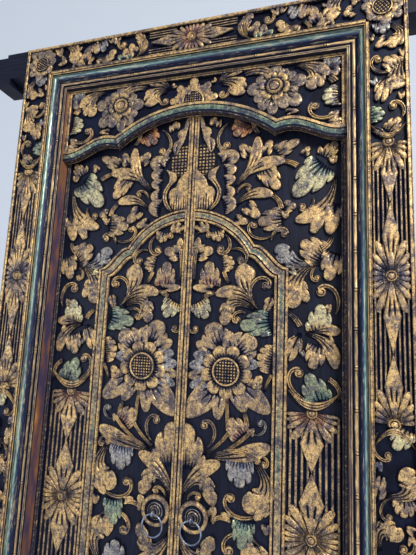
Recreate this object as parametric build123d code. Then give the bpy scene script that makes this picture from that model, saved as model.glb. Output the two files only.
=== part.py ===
from build123d import *
import os
from math import atan2, cos, hypot, pi, radians, sin, sqrt

# A carved temple door: two leaves on turned wooden pivots in a carved frame.
# X points right as seen from the front, Y goes back through the doorway, Z is up.
# The origin is on the floor under the middle of the door's box. Lengths are in millimetres.

# Frame, seen from the front
frame_width = 1200.0
frame_height = 2500.0
border_width = 104.0
moulding_width = 46.0
sill_height = 120.0
beam_rise = 27.0
horn_reach = 160.0
horn_step = 40.0
horn_height = 96.0
horn_drop = 22.0
horn_lap = 20.0
horn_fall = 12.0
post_inset = 4.0
plinth_height = 208.0

# Depths, measured back from the front of the border boards
board_thickness = 34.0
carving_depth = 12.0
header_setback = 44.0
header_thickness = 27.0
header_clearance = 3.0
groove_depth = 6.0
leaf_thickness = 38.0
stop_gap = 2.0
frame_depth = 125.0

# Leaves and their pivots
leaf_clearance = 4.0
meeting_gap = 1.5
heel_overlap = 5.0
pivot_radius = 13.0
pivot_reach = 40.0
pivot_hold = 60.0
pivot_fit = 0.08
pivot_end_gap = 0.3
edge_strip = 15.0
outer_strip = 13.0
rail_height = 60.0
pad_margin = 2.0
hollow_depth = 5.0

# Joinery of the posts
tenon_width = 50.0
tenon_depth = 36.0
tenon_length = 50.0

# Handles
handle_height = 1060.0
handle_offset = 55.0
rosette_radius = 41.0
rosette_thickness = 14.0
eye_radius = 7.0
eye_wire = 2.5
eye_reach = 10.0
shank_radius = 3.0
shank_fit = 0.15
ring_radius = 29.0
ring_wire = 2.2
ring_gap = 0.3
washer_radius = 12.0
washer_thickness = 2.0
rivet_radius = 6.0
rivet_thickness = 3.0

# Ledges and the bolt on the back
ledge_height = 60.0
ledge_thickness = 20.0
ledge_inset = 64.0
ledge_edge = 30.0
upper_ledge_drop = 286.0
lower_ledge_rise = 296.0
bolt_rise = 160.0
bolt_length = 240.0
bolt_width = 40.0
bolt_thickness = 22.0
bolt_gap = 0.5
bolt_edge = 6.0
staple_width = 25.0
staple_wall = 16.0
staple_inset = 25.0
staple_spacing = 175.0
peg_radius = 8.0
peg_length = 16.0
peg_place = 140.0
keeper_inset = 30.0

# Wall fixings through the posts
fixing_radius = 6.5
fixing_inset = 400.0
fixing_depth = 100.0

# Bead-and-reel: the length of one bead with its reel, and the cuts that part them
bead_pitch = 98.0
reel_cut = 3.0
reel_width = 5.0
reel_inner = 23.0
reel_outer = 34.0
reel_depth = 30.0

# The carving was drawn on these sheets: left and right, then bottom and top, from the flower line
leaf_sheet = (0.0, 450.0, -1589.0, 641.0)
jamb_sheet = (496.0, 600.0, -1381.0, 687.0)
head_sheet = (0.0, 600.0, 687.0, 791.0)
mirror_line = -655.0
field_top = 512.0
border_inner = 496.0
outer_fillet = 10.0
inner_fillet = 8.0
header_strip = 437.0
header_edge = 456.0
header_foot = 392.0
header_rail = 631.0
arch_peak = 548.0
arch_radius = 434.0
arch_crest = (295.0, 468.0)
arch_foot = (437.0, 425.0)
tip_gap = 4.0

# Worked out from the sizes above
half_width = frame_width / 2
border_edge = half_width - border_width
opening_half = border_edge - moulding_width
border_top = frame_height - border_width
soffit = border_top - moulding_width
beam_top = frame_height + beam_rise
horn_bottom = beam_top - horn_height
leaf_setback = header_setback + header_thickness + header_clearance
stop_depth = leaf_setback - stop_gap
ground_depth = leaf_setback + carving_depth
leaf_back = leaf_setback + leaf_thickness
heel_radius = leaf_thickness / 2
pivot_depth = leaf_setback + heel_radius
pivot_x = opening_half + heel_overlap
rebate_x = pivot_x + heel_radius + leaf_clearance
post_outer = half_width - post_inset
leaf_top = soffit - leaf_clearance
leaf_bottom = sill_height + leaf_clearance
upper_ledge_height = leaf_top - upper_ledge_drop
lower_ledge_height = leaf_bottom + lower_ledge_rise
bolt_height = handle_height + bolt_rise
bore_radius = shank_radius + shank_fit
channel = bolt_thickness + 2 * bolt_gap
staple_depth = channel + staple_wall
socket_radius = pivot_radius + pivot_fit
eye_depth = leaf_setback - rosette_thickness - eye_reach
ring_drop = eye_radius - eye_wire - ring_wire - ring_gap
overall_depth = leaf_back + max(staple_depth, bolt_gap + bolt_thickness + peg_length)
front = -overall_depth / 2


# Carved forms. A leaf is its base x, z, its tip x, z, its width, and how far its midrib bows.
# A scroll is its eye x, z, the reach of its tail, where the tail starts, its sweep, and its width.
top_leaves = [
    (34, 392, 30, 502, 46, 0), (62, 372, 72, 425, 34, 4), (78, 350, 86, 395, 34, 0),
    (92, 282, 138, 366, 60, 14), (96, 246, 130, 190, 52, 10), (134, 288, 116, 252, 36, 0),
    (176, 470, 108, 462, 56, 0), (56, 478, 58, 508, 24, 0), (140, 284, 196, 428, 36, -22),
    (186, 372, 134, 386, 46, 0), (216, 372, 240, 416, 30, 0), (252, 372, 322, 412, 44, 0),
    (146, 290, 284, 348, 46, 30), (232, 334, 246, 256, 54, 10), (398, 338, 312, 238, 92, 0),
    (400, 350, 420, 392, 40, 0), (146, 222, 238, 250, 38, 22), (196, 244, 208, 186, 48, 10),
    (276, 172, 212, 168, 66, 0), (284, 205, 312, 214, 36, 0), (398, 140, 416, 284, 30, -8),
    (402, 192, 318, 166, 50, 14), (420, 190, 404, 126, 42, 0), (396, 72, 324, 112, 58, 0),
    (366, 46, 264, 98, 40, 26), (378, 56, 434, -12, 42, 10), (138, 178, 180, 168, 28, 0),
]
top_scrolls = [
    (106, 412, 76, 88, 170, 13), (332, 212, 44, 42, -170, 10), (196, 158, 68, -32, -210, 10),
    (284, 130, 42, 205, -190, 10),
]
side_leaves = [
    (356, 40, 300, -76, 30, 26), (322, -12, 342, -76, 46, 0), (376, -142, 386, -70, 62, 0),
    (362, -144, 432, -140, 26, 6), (350, -146, 418, -226, 44, 22), (392, -176, 362, -238, 44, 0),
    (336, -146, 300, -216, 32, 0), (380, -322, 350, -256, 66, 0),
]
side_scrolls = [
    (384, -34, 72, -58, 190, 12), (328, -252, 72, -72, -210, 12), (376, 6, 28, 96, 190, 8),
]
inner_leaves = [
    (22, -14, 76, 78, 34, 34), (96, 136, 78, 104, 34, 0), (122, 10, 118, 70, 36, 0),
    (84, -26, 70, 48, 54, 0), (190, -46, 180, 42, 52, 14), (60, -34, 18, -24, 26, 0),
    (200, -84, 88, -44, 44, -22), (140, -62, 108, -140, 48, 0), (36, -66, 62, -126, 50, 0),
    (244, -126, 168, -130, 58, 0), (252, -222, 222, -214, 58, 0), (158, -442, 152, -380, 54, 0),
    (90, -492, 252, -446, 40, -14), (22, -528, 44, -424, 54, 0), (14, -604, 116, -512, 46, 22),
    (84, -544, 120, -608, 48, 10), (170, -474, 176, -552, 72, 0), (246, -560, 186, -590, 46, -10),
    (242, -604, 218, -632, 28, 0), (94, -652, 110, -618, 32, 0), (190, -646, 187, -712, 62, 0),
]
inner_scrolls = [
    (100, 90, 46, 75, -235, 11), (160, 58, 42, 130, -250, 11), (234, -18, 72, -108, -300, 11),
    (33, -146, 36, 115, 215, 8), (156, -116, 30, 40, 230, 9), (72, -412, 62, -78, 200, 11),
    (228, -392, 28, -110, 200, 8), (154, -598, 88, -18, -205, 12), (60, -604, 26, 190, -170, 8),
]
lower_leaves = [4, 6, 7, 8, 14, 15, 16, 17]
lower_scrolls = [2, 7]
flower_leaves = [
    (112, -216, 76, -128, 66, 0), (132, -214, 122, -140, 52, 0), (150, -218, 204, -164, 60, 0),
    (180, -262, 232, -272, 50, 0), (164, -300, 254, -360, 70, 0), (104, -306, 14, -398, 80, 0),
    (92, -262, 18, -292, 46, 0), (92, -246, 28, -212, 52, 0), (96, -330, 106, -392, 34, 0),
]
flower_centre = (128, -262)
column_centre = (362, -658)
column_width = 70
column_length = 158
column_reach = 306

jamb_leaves = [
    (534, 682, 537, 642, 48, 0), (560, 664, 556, 588, 40, -30), (582, 618, 532, 618, 28, 0),
    (589, 560, 540, 548, 50, 0), (562, 528, 588, 470, 40, 8), (546, 514, 514, 462, 34, -8),
    (544, 492, 556, 448, 34, 0), (507, 412, 540, 420, 44, 0), (542, 370, 568, 402, 38, 0),
]
jamb_scrolls = [(527, 574, 60, -58, -225, 10), (566, 430, 46, -58, 215, 9)]
jamb_middle = 547
jamb_sections = [(345, -347), (-689, -1381)]
lozenge_width = 42
lozenge_length = 184

head_leaves = [
    (176, 702, 182, 784, 30, 14), (188, 712, 190, 770, 34, 0), (226, 704, 221, 738, 30, 0),
    (268, 712, 258, 760, 30, 12), (270, 708, 326, 726, 26, -12), (316, 776, 296, 744, 40, 0),
    (336, 726, 376, 770, 40, 0), (440, 782, 416, 718, 46, -16), (470, 728, 448, 728, 40, 0),
]
head_scrolls = [(230, 752, 34, 75, -200, 10), (384, 716, 44, 205, 160, 9)]
corner_centre = (538, 730)
head_middle = 739
head_crescent = 144

header_leaves = [
    (82, 600, 156, 640, 40, 18), (150, 600, 140, 556, 44, 0), (330, 622, 400, 584, 40, 16),
    (398, 606, 428, 600, 50, 0), (372, 600, 350, 546, 44, -14), (432, 520, 384, 516, 62, 0),
    (398, 436, 440, 434, 40, 0), (160, 622, 230, 606, 26, 8),
]
header_scrolls = [(366, 492, 76, -15, -210, 11), (92, 566, 26, 40, -200, 9)]
header_flower = (250, 568)


# Drawing helpers
def fit(sheet, left, right, bottom, top):
    """Return a function that puts a point of a drawn sheet on the real board."""
    x0, x1, z0, z1 = sheet
    wide = (right - left) / (x1 - x0)
    high = (top - bottom) / (z1 - z0)
    return lambda p: (left + (p[0] - x0) * wide, bottom + (p[1] - z0) * high)


def at_depth(depth):
    """An upright plane that faces the front, this far behind the border's front."""
    return Plane.XZ.offset(-(front + depth))


def outline(points, place):
    """A flat face through the points, put on the board."""
    return Polygon(*[place(p) for p in points], align=None)


def block(x0, x1, depth0, depth1, z0, z1):
    """A square-edged piece between two depths."""
    return Box(x1 - x0, depth1 - depth0, z1 - z0, align=Align.MIN).moved(
        Location((x0, front + depth0, z0)))


def stand(face, depth, height):
    """Thicken an upright outline towards the front, from this depth."""
    return extrude(at_depth(depth) * face, amount=height, dir=(0, -1, 0))


def rod_y(x, z, depth0, depth1, radius):
    """A round rod or hole that runs from front to back."""
    return stand(Pos(x, z) * Circle(radius), depth1, depth1 - depth0)


def leaf_points(x0, z0, x1, z1, width, bow):
    """A lobed leaf along a bowed midrib: narrow base, side lobes, shoulder and tip."""
    stations = [(0.0, 0.34), (0.30, 0.86), (0.66, 1.0)]
    if width >= 54:
        stations = [(0.0, 0.34), (0.26, 0.88), (0.42, 0.66), (0.68, 1.0)]
    length = hypot(x1 - x0, z1 - z0)
    ax, az = (x1 - x0) / length, (z1 - z0) / length
    left, right = [], []
    for u, share in stations:
        side = 4 * bow * u * (1 - u)
        px = x0 + ax * length * u - az * side
        pz = z0 + az * length * u + ax * side
        turn = atan2(4 * bow * (1 - 2 * u), length)
        nx = -az * cos(turn) - ax * sin(turn)
        nz = ax * cos(turn) - az * sin(turn)
        half = width * share / 2
        left.append((px + nx * half, pz + nz * half))
        right.append((px - nx * half, pz - nz * half))
    return left + [(x1, z1)] + right[::-1]


def scroll_points(x, z, reach, start, sweep, width):
    """A tapering band that winds in to its eye."""
    steps = 4
    outer, inner = [], []
    for i in range(steps + 1):
        t = i / steps
        angle = radians(start + sweep * t)
        radius = reach * (0.8 * width / reach) ** t
        half = width * (0.25 + 0.45 * t)
        outer.append((x + (radius + half) * cos(angle), z + (radius + half) * sin(angle)))
        inner.append((x + (radius - half) * cos(angle), z + (radius - half) * sin(angle)))
    return outer + inner[::-1]


def ring_points(x, z, radius, count, notch=1.0):
    """A round or scalloped outline; notch under 1 cuts in between the scallops."""
    turns = count * 2 if notch < 1 else count
    points = []
    for i in range(turns):
        reach = radius * notch if notch < 1 and i % 2 else radius
        points.append((x + reach * cos(2 * pi * i / turns), z + reach * sin(2 * pi * i / turns)))
    return points


def half_lozenge(width, length):
    """One side of a stepped petal lozenge, from its middle to its tip."""
    steps = [(1.0, 0.0), (0.94, 0.2), (0.7, 0.27), (0.68, 0.43), (0.45, 0.5), (0.44, 0.66)]
    return [(width * w, length * h) for w, h in steps] + [(0.0, length)]


def upright_lozenge(x, z, width, length):
    """A whole lozenge that stands on end."""
    quarter = half_lozenge(width, length)
    top = quarter + [(-w, h) for w, h in quarter[-2:0:-1]]
    low = [(-w, -h) for w, h in quarter[:-1]] + [(w, -h) for w, h in quarter[:0:-1]]
    return [(x + w, z + h) for w, h in top + low]


def fan(x, z, width, length):
    """Half a lozenge that hangs from a crescent, or stands on it if length is negative."""
    side = half_lozenge(width, -length)
    return [(x + w, z + h) for w, h in side] + [(x - w, z + h) for w, h in side[-2::-1]]


def crescent(x, z, half, rise, thick):
    """A crescent with its horns up; a negative rise turns them down."""
    steps = 4
    low, high = [], []
    for i in range(steps + 1):
        t = 2 * i / steps - 1
        body = thick * (1.15 - t * t)
        low.append((x + half * t, z + rise * t * t))
        high.append((x + half * t, z + rise * t * t + body * (1 if rise > 0 else -1)))
    return low + high[::-1]


def arch_height(x, peak, radius, crest, foot):
    """Height of a cusped arch: a round middle, then a wave down from its crest to its foot."""
    middle = peak - radius + sqrt(max(radius * radius - x * x, 0))
    wave = (1 + cos(pi * (x - crest[0]) / (foot[0] - crest[0]))) / 2
    side = foot[1] + (crest[1] - foot[1]) * wave
    return max(middle, side) if x > crest[0] - 40 else middle


def carve(board, ground, place, field, levels):
    """Add forms to a board, kept inside its field; a level is a share of the depth and its outlines."""
    edge = outline(field, place)
    forms = []
    for share, outlines in levels:
        sketch = (Sketch() + [outline(points, place) for points in outlines]) & edge
        forms.append(stand(sketch, ground, share * carving_depth))
    return board + forms


def strip(x0, x1, z0, z1):
    """The outline of a plain strip or panel on a sheet."""
    return [(x0, z0), (x1, z0), (x1, z1), (x0, z1)]


def both_sides(outlines):
    """The outlines with their mirror images across the middle."""
    return outlines + [[(-x, z) for x, z in points] for points in outlines]


def other_side(shape):
    """The matching piece on the left."""
    return mirror(shape, about=Plane.YZ)


def upright_rod(x, depth, z, radius, length, align):
    """A round piece or hole on an upright axis, measured up or down from z."""
    rod = Cylinder(radius, length, align=(Align.CENTER, Align.CENTER, align))
    return rod.moved(Location((x, front + depth, z)))


def leaf_place():
    """The leaf sheet put on the right half of the doorway."""
    return fit(leaf_sheet, 0, opening_half, sill_height, soffit)


# The fixed frame
def tenon(side, height, way):
    """A post's tenon, also used as the mortise it fills."""
    middle = (rebate_x + post_outer) / 2
    depth = (board_thickness + frame_depth) / 2
    piece = Box(tenon_width, tenon_depth, tenon_length)
    return piece.moved(Location((side * middle, front + depth, height + way * tenon_length / 2)))


def head_beam():
    """The beam with stepped horns, pivot sockets, mortises and a groove for the header."""
    step = half_width + horn_reach - horn_step
    tip = half_width + horn_reach
    side = [(half_width, soffit), (half_width, horn_bottom), (step - horn_lap, horn_bottom),
            (step - horn_lap, horn_bottom - horn_drop), (tip, horn_bottom - horn_drop),
            (tip, beam_top - horn_fall), (step, beam_top - horn_fall), (step, beam_top)]
    face = Polygon(*side, *[(-x, z) for x, z in side[::-1]], align=None)
    beam = stand(face, frame_depth, frame_depth - board_thickness)
    cuts = [block(-opening_half - groove_depth, opening_half + groove_depth, header_setback,
                  header_setback + header_thickness, soffit, soffit + groove_depth)]
    for side in (-1, 1):
        reach = leaf_top + pivot_reach + pivot_end_gap - soffit
        cuts.append(upright_rod(side * pivot_x, pivot_depth, soffit, socket_radius, reach, Align.MIN))
        cuts.append(tenon(side, soffit, 1))
    return beam - cuts


def sill_beam():
    """The sill with its sockets and mortises."""
    sill = block(-half_width, half_width, 0, frame_depth, 0, sill_height)
    cuts = []
    for side in (-1, 1):
        reach = sill_height - leaf_bottom + pivot_reach + pivot_end_gap
        cuts.append(upright_rod(side * pivot_x, pivot_depth, sill_height, socket_radius, reach, Align.MAX))
        cuts.append(tenon(side, sill_height, -1))
    return sill - cuts


def right_post():
    """The post, rebated for the leaf's heel, with a groove for the header and wall fixing holes."""
    plan = [(opening_half, board_thickness), (post_outer, board_thickness), (post_outer, frame_depth),
            (rebate_x, frame_depth), (rebate_x, stop_depth), (opening_half, stop_depth)]
    face = Pos(0, 0, sill_height) * Polygon(*[(x, front + d) for x, d in plan], align=None)
    post = extrude(face, amount=soffit - sill_height, dir=(0, 0, 1))
    post += [tenon(1, soffit, 1), tenon(1, sill_height, -1)]
    cuts = [block(opening_half - groove_depth, opening_half + groove_depth, header_setback,
                  header_setback + header_thickness, leaf_place()((0, header_foot))[1], soffit)]
    for height in (fixing_inset, frame_height - fixing_inset):
        hole = Rot(0, 90, 0) * Cylinder(fixing_radius, 2 * border_width + 2 * moulding_width)
        cuts.append(hole.moved(Location((border_edge, front + fixing_depth, height))))
    return post - cuts


def head_forms():
    """The head board's forms: corner flowers, leaf sections, crescents and a lozenge."""
    x, z = corner_centre
    tall = [leaf_points(*leaf) for leaf in head_leaves]
    curve = crescent(0, 0, 41, 38, 12)
    tall.append([(head_crescent + h, head_middle + w) for w, h in curve])
    low = [scroll_points(*scroll) for scroll in head_scrolls] + [ring_points(x, z, 54, 8, 0.76)]
    hearts = [ring_points(x - 6, z - 6, 28, 8)]
    middle = [(h, head_middle + w) for w, h in upright_lozenge(0, 0, lozenge_width - 4, head_crescent - 12)]
    x1, z0, z1 = head_sheet[1:]
    edges = [strip(-x1, x1, z1 - outer_fillet, z1), strip(-border_inner, border_inner, z0, z0 + inner_fillet)]
    edges += both_sides([strip(x1 - outer_fillet, x1, z0, z1)])
    return [(1.0, edges + both_sides(hearts)), (0.9, both_sides(tall) + [middle]), (0.65, both_sides(low))]


def head_board():
    """The carved board over the whole width."""
    board = block(-half_width, half_width, carving_depth, board_thickness, border_top, frame_height)
    place = fit(head_sheet, 0, half_width, border_top, frame_height)
    x1, z0, z1 = head_sheet[1:]
    return carve(board, carving_depth, place, strip(-x1, x1, z0, z1), head_forms())


def jamb_forms():
    """The forms of a jamb board: leaf sections and lozenge sections in turn."""
    x0, x1, z0, z1 = jamb_sheet
    flip = sum(jamb_sections[0])
    tall = [leaf_points(*leaf) for leaf in jamb_leaves]
    low = [scroll_points(*scroll) for scroll in jamb_scrolls]
    tall += [[(x, flip - z) for x, z in points] for points in tall]
    low += [[(x, flip - z) for x, z in points] for points in low]
    for top, bottom in jamb_sections:
        middle = (top + bottom) / 2
        tall.append(upright_lozenge(jamb_middle, middle, lozenge_width, lozenge_length))
        for end, way in ((top, 1), (bottom, -1)):
            reach = way * (end - middle) - lozenge_length - tip_gap
            tall.append(fan(jamb_middle, end, lozenge_width, way * reach))
            low.append(crescent(jamb_middle, end, 41, way * 38, 12))
    edges = [strip(x1 - outer_fillet, x1, z0, z1), strip(x0, x0 + inner_fillet, z0, z1)]
    return [(1.0, edges), (0.9, tall), (0.75, low)]


def right_jamb_board():
    """The carved board beside the doorway, on a plain plinth block."""
    plinth_top = sill_height + plinth_height
    board = block(border_edge, half_width, carving_depth, board_thickness, sill_height, border_top)
    place = fit(jamb_sheet, border_edge, half_width, plinth_top, border_top)
    board = carve(board, carving_depth, place, strip(*jamb_sheet), jamb_forms())
    return board + block(border_edge, half_width, 0, carving_depth, sill_height, plinth_top)


def moulding_profile():
    """The moulding's section: distance in from the border, then depth."""
    w = moulding_width
    return [(0, board_thickness), (0, 4), (3, 10), (8, 15), (15, 18), (16, 19), (16, 28), (23, 30), (24, 27),
            (27, 25), (31, 25), (34, 28), (34, 31), (w - 8, 31), (w - 8, 28), (w, 28), (w, board_thickness)]


def reel_places(length):
    """Where the cuts lie that part the beads along a run."""
    count = int(length // bead_pitch)
    middles = [(i - (count - 1) / 2) * bead_pitch for i in range(count)]
    return [m + side * (reel_width + reel_cut) / 2 for m in middles for side in (-1, 1)]


def right_moulding():
    """The upright moulding strip, mitred at its top."""
    points = [(border_edge - w, front + d) for w, d in moulding_profile()]
    face = Pos(0, 0, sill_height) * Polygon(*points, align=None)
    bar = extrude(face, amount=border_top - sill_height, dir=(0, 0, 1))
    corner = Plane(origin=(border_edge, 0, border_top), z_dir=(-1, 0, 1))
    bar = split(bar, bisect_by=corner, keep=Keep.BOTTOM)
    middle = (soffit + sill_height) / 2
    cuts = [block(border_edge - reel_outer, border_edge - reel_inner, 0, reel_depth,
                  middle + z - reel_cut / 2, middle + z + reel_cut / 2)
            for z in reel_places(soffit - sill_height)]
    return bar - cuts


def head_moulding():
    """The moulding strip over the doorway, mitred at both ends."""
    points = [(front + d, border_top - w) for w, d in moulding_profile()]
    face = Plane.YZ.offset(-border_edge) * Polygon(*points, align=None)
    bar = extrude(face, amount=2 * border_edge, dir=(1, 0, 0))
    for side in (-1, 1):
        corner = Plane(origin=(side * border_edge, 0, border_top), z_dir=(-side, 0, 1))
        bar = split(bar, bisect_by=corner, keep=Keep.TOP)
    cuts = [block(x - reel_cut / 2, x + reel_cut / 2, 0, reel_depth,
                  border_top - reel_outer, border_top - reel_inner)
            for x in reel_places(2 * opening_half)]
    return bar - cuts


def header_arch(drop, stations):
    """Half of the header's arch, lowered by this drop, out to the end in the post's groove."""
    crest, foot = [(x, z - drop) for x, z in (arch_crest, arch_foot)]
    points = [(x, arch_height(x, arch_peak - drop, arch_radius - drop, crest, foot)) for x in stations]
    return points + [(header_edge, foot[1])]


def header_panel():
    """The carved panel over the leaves, with the cusped arch along its lower edge."""
    middle, side = (0, 45, 90, 135, 180), (295, 320, 345, 366, 390, 415, 437)
    upper = header_arch(0, middle + (225, 261, 278) + side)
    lower = header_arch(arch_foot[1] - header_foot, middle + (220, 254, 274) + side)
    top = leaf_sheet[3] + groove_depth
    whole = [(-x, z) for x, z in lower[::-1]] + lower[1:] + [(header_edge, top), (-header_edge, top)]
    arch = [(-x, z) for x, z in upper[::-1]] + upper[1:] + lower[::-1] + [(-x, z) for x, z in lower[1:]]
    place = leaf_place()
    depth = header_setback + header_thickness
    panel = stand(outline(whole, place), depth, header_thickness - carving_depth)
    x, z = header_flower
    tall = [leaf_points(*leaf) for leaf in header_leaves]
    low = [scroll_points(*scroll) for scroll in header_scrolls] + [ring_points(x, z, 64, 8, 0.7)]
    edges = [arch, strip(-header_edge, header_edge, header_rail, top)]
    edges += both_sides([strip(header_strip, header_edge, header_foot, top), ring_points(x, z, 24, 8)])
    flowers = both_sides(tall) + [ring_points(0, 572, 66, 9, 0.82)]
    levels = [(1.0, edges), (0.9, flowers), (0.65, both_sides(low))]
    return carve(panel, header_setback + carving_depth, place, whole, levels)


# The leaves
def cusped_ring(peak, radius, crest, foot, stations):
    """A leaf's arch from the meeting edge out to its foot, then the same turned over below."""
    side = [(x, arch_height(x, peak, radius, crest, foot)) for x in stations] + [foot]
    return side + [(x, 2 * mirror_line - z) for x, z in side[::-1]]


def leaf_band():
    """The moulding on a leaf and the hollow along it."""
    outer = cusped_ring(215, 231, (203, 100), (297, 32), (10, 60, 105, 150, 200, 222, 250, 276))
    inner = cusped_ring(178, 204, (183, 64), (258, 5), (10, 55, 95, 135, 181, 202, 222, 242))
    outside = cusped_ring(206, 222, (201, 92), (288, 26), (18, 60, 105, 150, 197, 219, 245, 268))
    inside = cusped_ring(187, 213, (187, 73), (267, 10), (18, 55, 95, 138, 185, 208, 228, 250))
    return outer + inner[::-1], outside + inside[::-1]


def leaf_forms():
    """The carved forms of the right leaf."""
    flip = 2 * mirror_line
    tall = [leaf_points(*leaf) for leaf in top_leaves + side_leaves + inner_leaves]
    petals = [leaf_points(*leaf) for leaf in flower_leaves]
    low = [scroll_points(*scroll) for scroll in top_scrolls + side_scrolls + inner_scrolls]
    repeats = [leaf_points(*inner_leaves[i]) for i in lower_leaves]
    tall += [[(x, flip - z) for x, z in points] for points in repeats]
    petals += [[(x, flip - z) for x, z in points] for points in petals]
    curls = [scroll_points(*inner_scrolls[i]) for i in lower_scrolls]
    low += [[(x, flip - z) for x, z in points] for points in curls]
    x, z = column_centre
    tall.append(upright_lozenge(x, z, column_width, column_length))
    for way in (1, -1):
        end = z + way * column_reach
        low.append(crescent(x + 4, end, 64, way * 46, 18))
        tall.append(fan(x, end, 62, way * (column_reach - column_length - tip_gap)))
    x, z = flower_centre
    whorls = [ring_points(x, z, 68, 9, 0.84), ring_points(x, flip - z, 68, 9, 0.84)]
    hearts = [ring_points(x, z, 40, 10), ring_points(x, flip - z, 40, 10)]
    bud = [(16, 212), (110, 206), (96, 260), (90, 336), (60, 318), (16, 342)]
    return [(0.9, tall + whorls), (0.65, low + petals), (1.0, hearts + [bud])]


def right_leaf():
    """One leaf: a board with a rounded heel, its strips, its moulding and its carving."""
    board = block(meeting_gap, pivot_x, ground_depth, leaf_back, leaf_bottom, leaf_top)
    board += upright_rod(pivot_x, pivot_depth, leaf_bottom, heel_radius, leaf_top - leaf_bottom, Align.MIN)
    place = leaf_place()
    band, hollow = leaf_band()
    x0, x1, z0, z1 = leaf_sheet
    field = strip(x0 + edge_strip, x1 - outer_strip, z0, field_top)
    levels = leaf_forms() + [(1.0, [band])]
    board = carve(board, ground_depth, place, field, levels)
    low, high = leaf_bottom + rail_height, place((0, field_top))[1]
    inner, outer = meeting_gap + edge_strip, opening_half - outer_strip
    board += [block(meeting_gap, inner, leaf_setback, ground_depth, leaf_bottom, leaf_top),
              block(outer, pivot_x, leaf_setback, ground_depth, leaf_bottom, leaf_top),
              block(meeting_gap, pivot_x, leaf_setback, ground_depth, leaf_bottom, low),
              block(meeting_gap, pivot_x, leaf_setback, ground_depth, high, leaf_top),
              rod_y(handle_offset, handle_height, leaf_setback, ground_depth, rosette_radius + pad_margin)]
    cuts = [stand(outline(hollow, place), leaf_setback + hollow_depth, hollow_depth),
            rod_y(handle_offset, handle_height, 0, overall_depth, bore_radius)]
    for z, align in ((leaf_bottom, Align.MIN), (leaf_top, Align.MAX)):
        cuts.append(upright_rod(pivot_x, pivot_depth, z, pivot_radius, pivot_hold, align))
    return board - cuts


def right_pivot(end, way):
    """A turned pivot, half in the leaf and half in its socket."""
    low = min(end - way * pivot_hold, end + way * pivot_reach)
    return upright_rod(pivot_x, pivot_depth, low, pivot_radius, pivot_hold + pivot_reach, Align.MIN)


def right_ledge(height):
    """A batten across the back of the leaf, with bevelled ends."""
    x0, x1 = meeting_gap + ledge_edge, pivot_x - ledge_inset
    bevel = ledge_thickness / 2
    plan = [(x0, leaf_back), (x1, leaf_back), (x1 - bevel, leaf_back + ledge_thickness),
            (x0 + bevel, leaf_back + ledge_thickness)]
    face = Pos(0, 0, height - ledge_height / 2) * Polygon(*[(x, front + d) for x, d in plan], align=None)
    return extrude(face, amount=ledge_height, dir=(0, 0, 1))


# Handles
def right_rosette():
    """The turned rosette: a rim, a hollow and a raised boss."""
    r, t = rosette_radius, rosette_thickness
    section = [(bore_radius, 0), (r, 0), (r, 0.45 * t), (0.94 * r, 0.8 * t), (0.84 * r, 0.86 * t),
               (0.74 * r, 0.5 * t), (0.56 * r, 0.4 * t), (0.5 * r, 0.72 * t), (0.34 * r, 0.78 * t),
               (0.28 * r, t), (bore_radius, t)]
    turned = revolve(Plane.XZ * Polygon(*section, align=None), Axis.Z, 360)
    return Location((handle_offset, front + leaf_setback, handle_height)) * Rot(90, 0, 0) * turned


def right_eye():
    """The eye: a wire loop on a shank that is riveted behind the leaf."""
    loop = Rot(0, 90, 0) * Torus(eye_radius, eye_wire)
    eye = loop.moved(Location((handle_offset, front + eye_depth, handle_height)))
    end = leaf_back + washer_thickness
    eye += rod_y(handle_offset, handle_height, eye_depth + eye_radius, end, shank_radius)
    return eye + rod_y(handle_offset, handle_height, end, end + rivet_thickness, rivet_radius)


def right_washer():
    """The washer under the rivet."""
    washer = rod_y(handle_offset, handle_height, leaf_back, leaf_back + washer_thickness, washer_radius)
    return washer - rod_y(handle_offset, handle_height, 0, overall_depth, bore_radius)


def right_ring():
    """The pull ring, hanging in the eye."""
    ring = Rot(90, 0, 0) * Torus(ring_radius, ring_wire)
    height = handle_height - ring_drop - ring_radius
    return ring.moved(Location((handle_offset, front + eye_depth, height)))


# The bolt on the back of the left leaf
def bolt():
    """The sliding bar with its peg, drawn back behind the left leaf."""
    near = leaf_back + bolt_gap
    bar = block(-bolt_edge - bolt_length, -bolt_edge, near, near + bolt_thickness,
                bolt_height - bolt_width / 2, bolt_height + bolt_width / 2)
    return bar + rod_y(-peg_place, bolt_height, near, near + bolt_thickness + peg_length, peg_radius)


def staple(x):
    """A wooden bridge over the bolt; its left edge is at x."""
    half = bolt_width / 2 + bolt_gap
    body = block(x, x + staple_width, leaf_back, leaf_back + staple_depth,
                 bolt_height - half - staple_wall, bolt_height + half + staple_wall)
    return body - block(x, x + staple_width, leaf_back, leaf_back + channel,
                        bolt_height - half, bolt_height + half)


parts = {
    "head_beam": head_beam(),
    "sill_beam": sill_beam(),
    "right_post": right_post(),
    "head_board": head_board(),
    "right_jamb_board": right_jamb_board(),
    "head_moulding": head_moulding(),
    "right_moulding": right_moulding(),
    "header_panel": header_panel(),
    "right_leaf": right_leaf(),
    "right_top_pivot": right_pivot(leaf_top, 1),
    "right_bottom_pivot": right_pivot(leaf_bottom, -1),
    "right_upper_ledge": right_ledge(upper_ledge_height),
    "right_lower_ledge": right_ledge(lower_ledge_height),
    "right_rosette": right_rosette(),
    "right_eye": right_eye(),
    "right_washer": right_washer(),
    "right_ring": right_ring(),
}
for name in [name for name in parts if name.startswith("right_")]:
    parts[name.replace("right_", "left_")] = other_side(parts[name])
parts["bolt"] = bolt()
parts["inner_staple"] = staple(-staple_inset - staple_width)
parts["outer_staple"] = staple(-staple_inset - staple_width - staple_spacing)
parts["bolt_keeper"] = staple(keeper_inset)

os.makedirs("parts", exist_ok=True)
for name, shape in parts.items():
    export_step(shape, f"parts/{name}.step")
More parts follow.
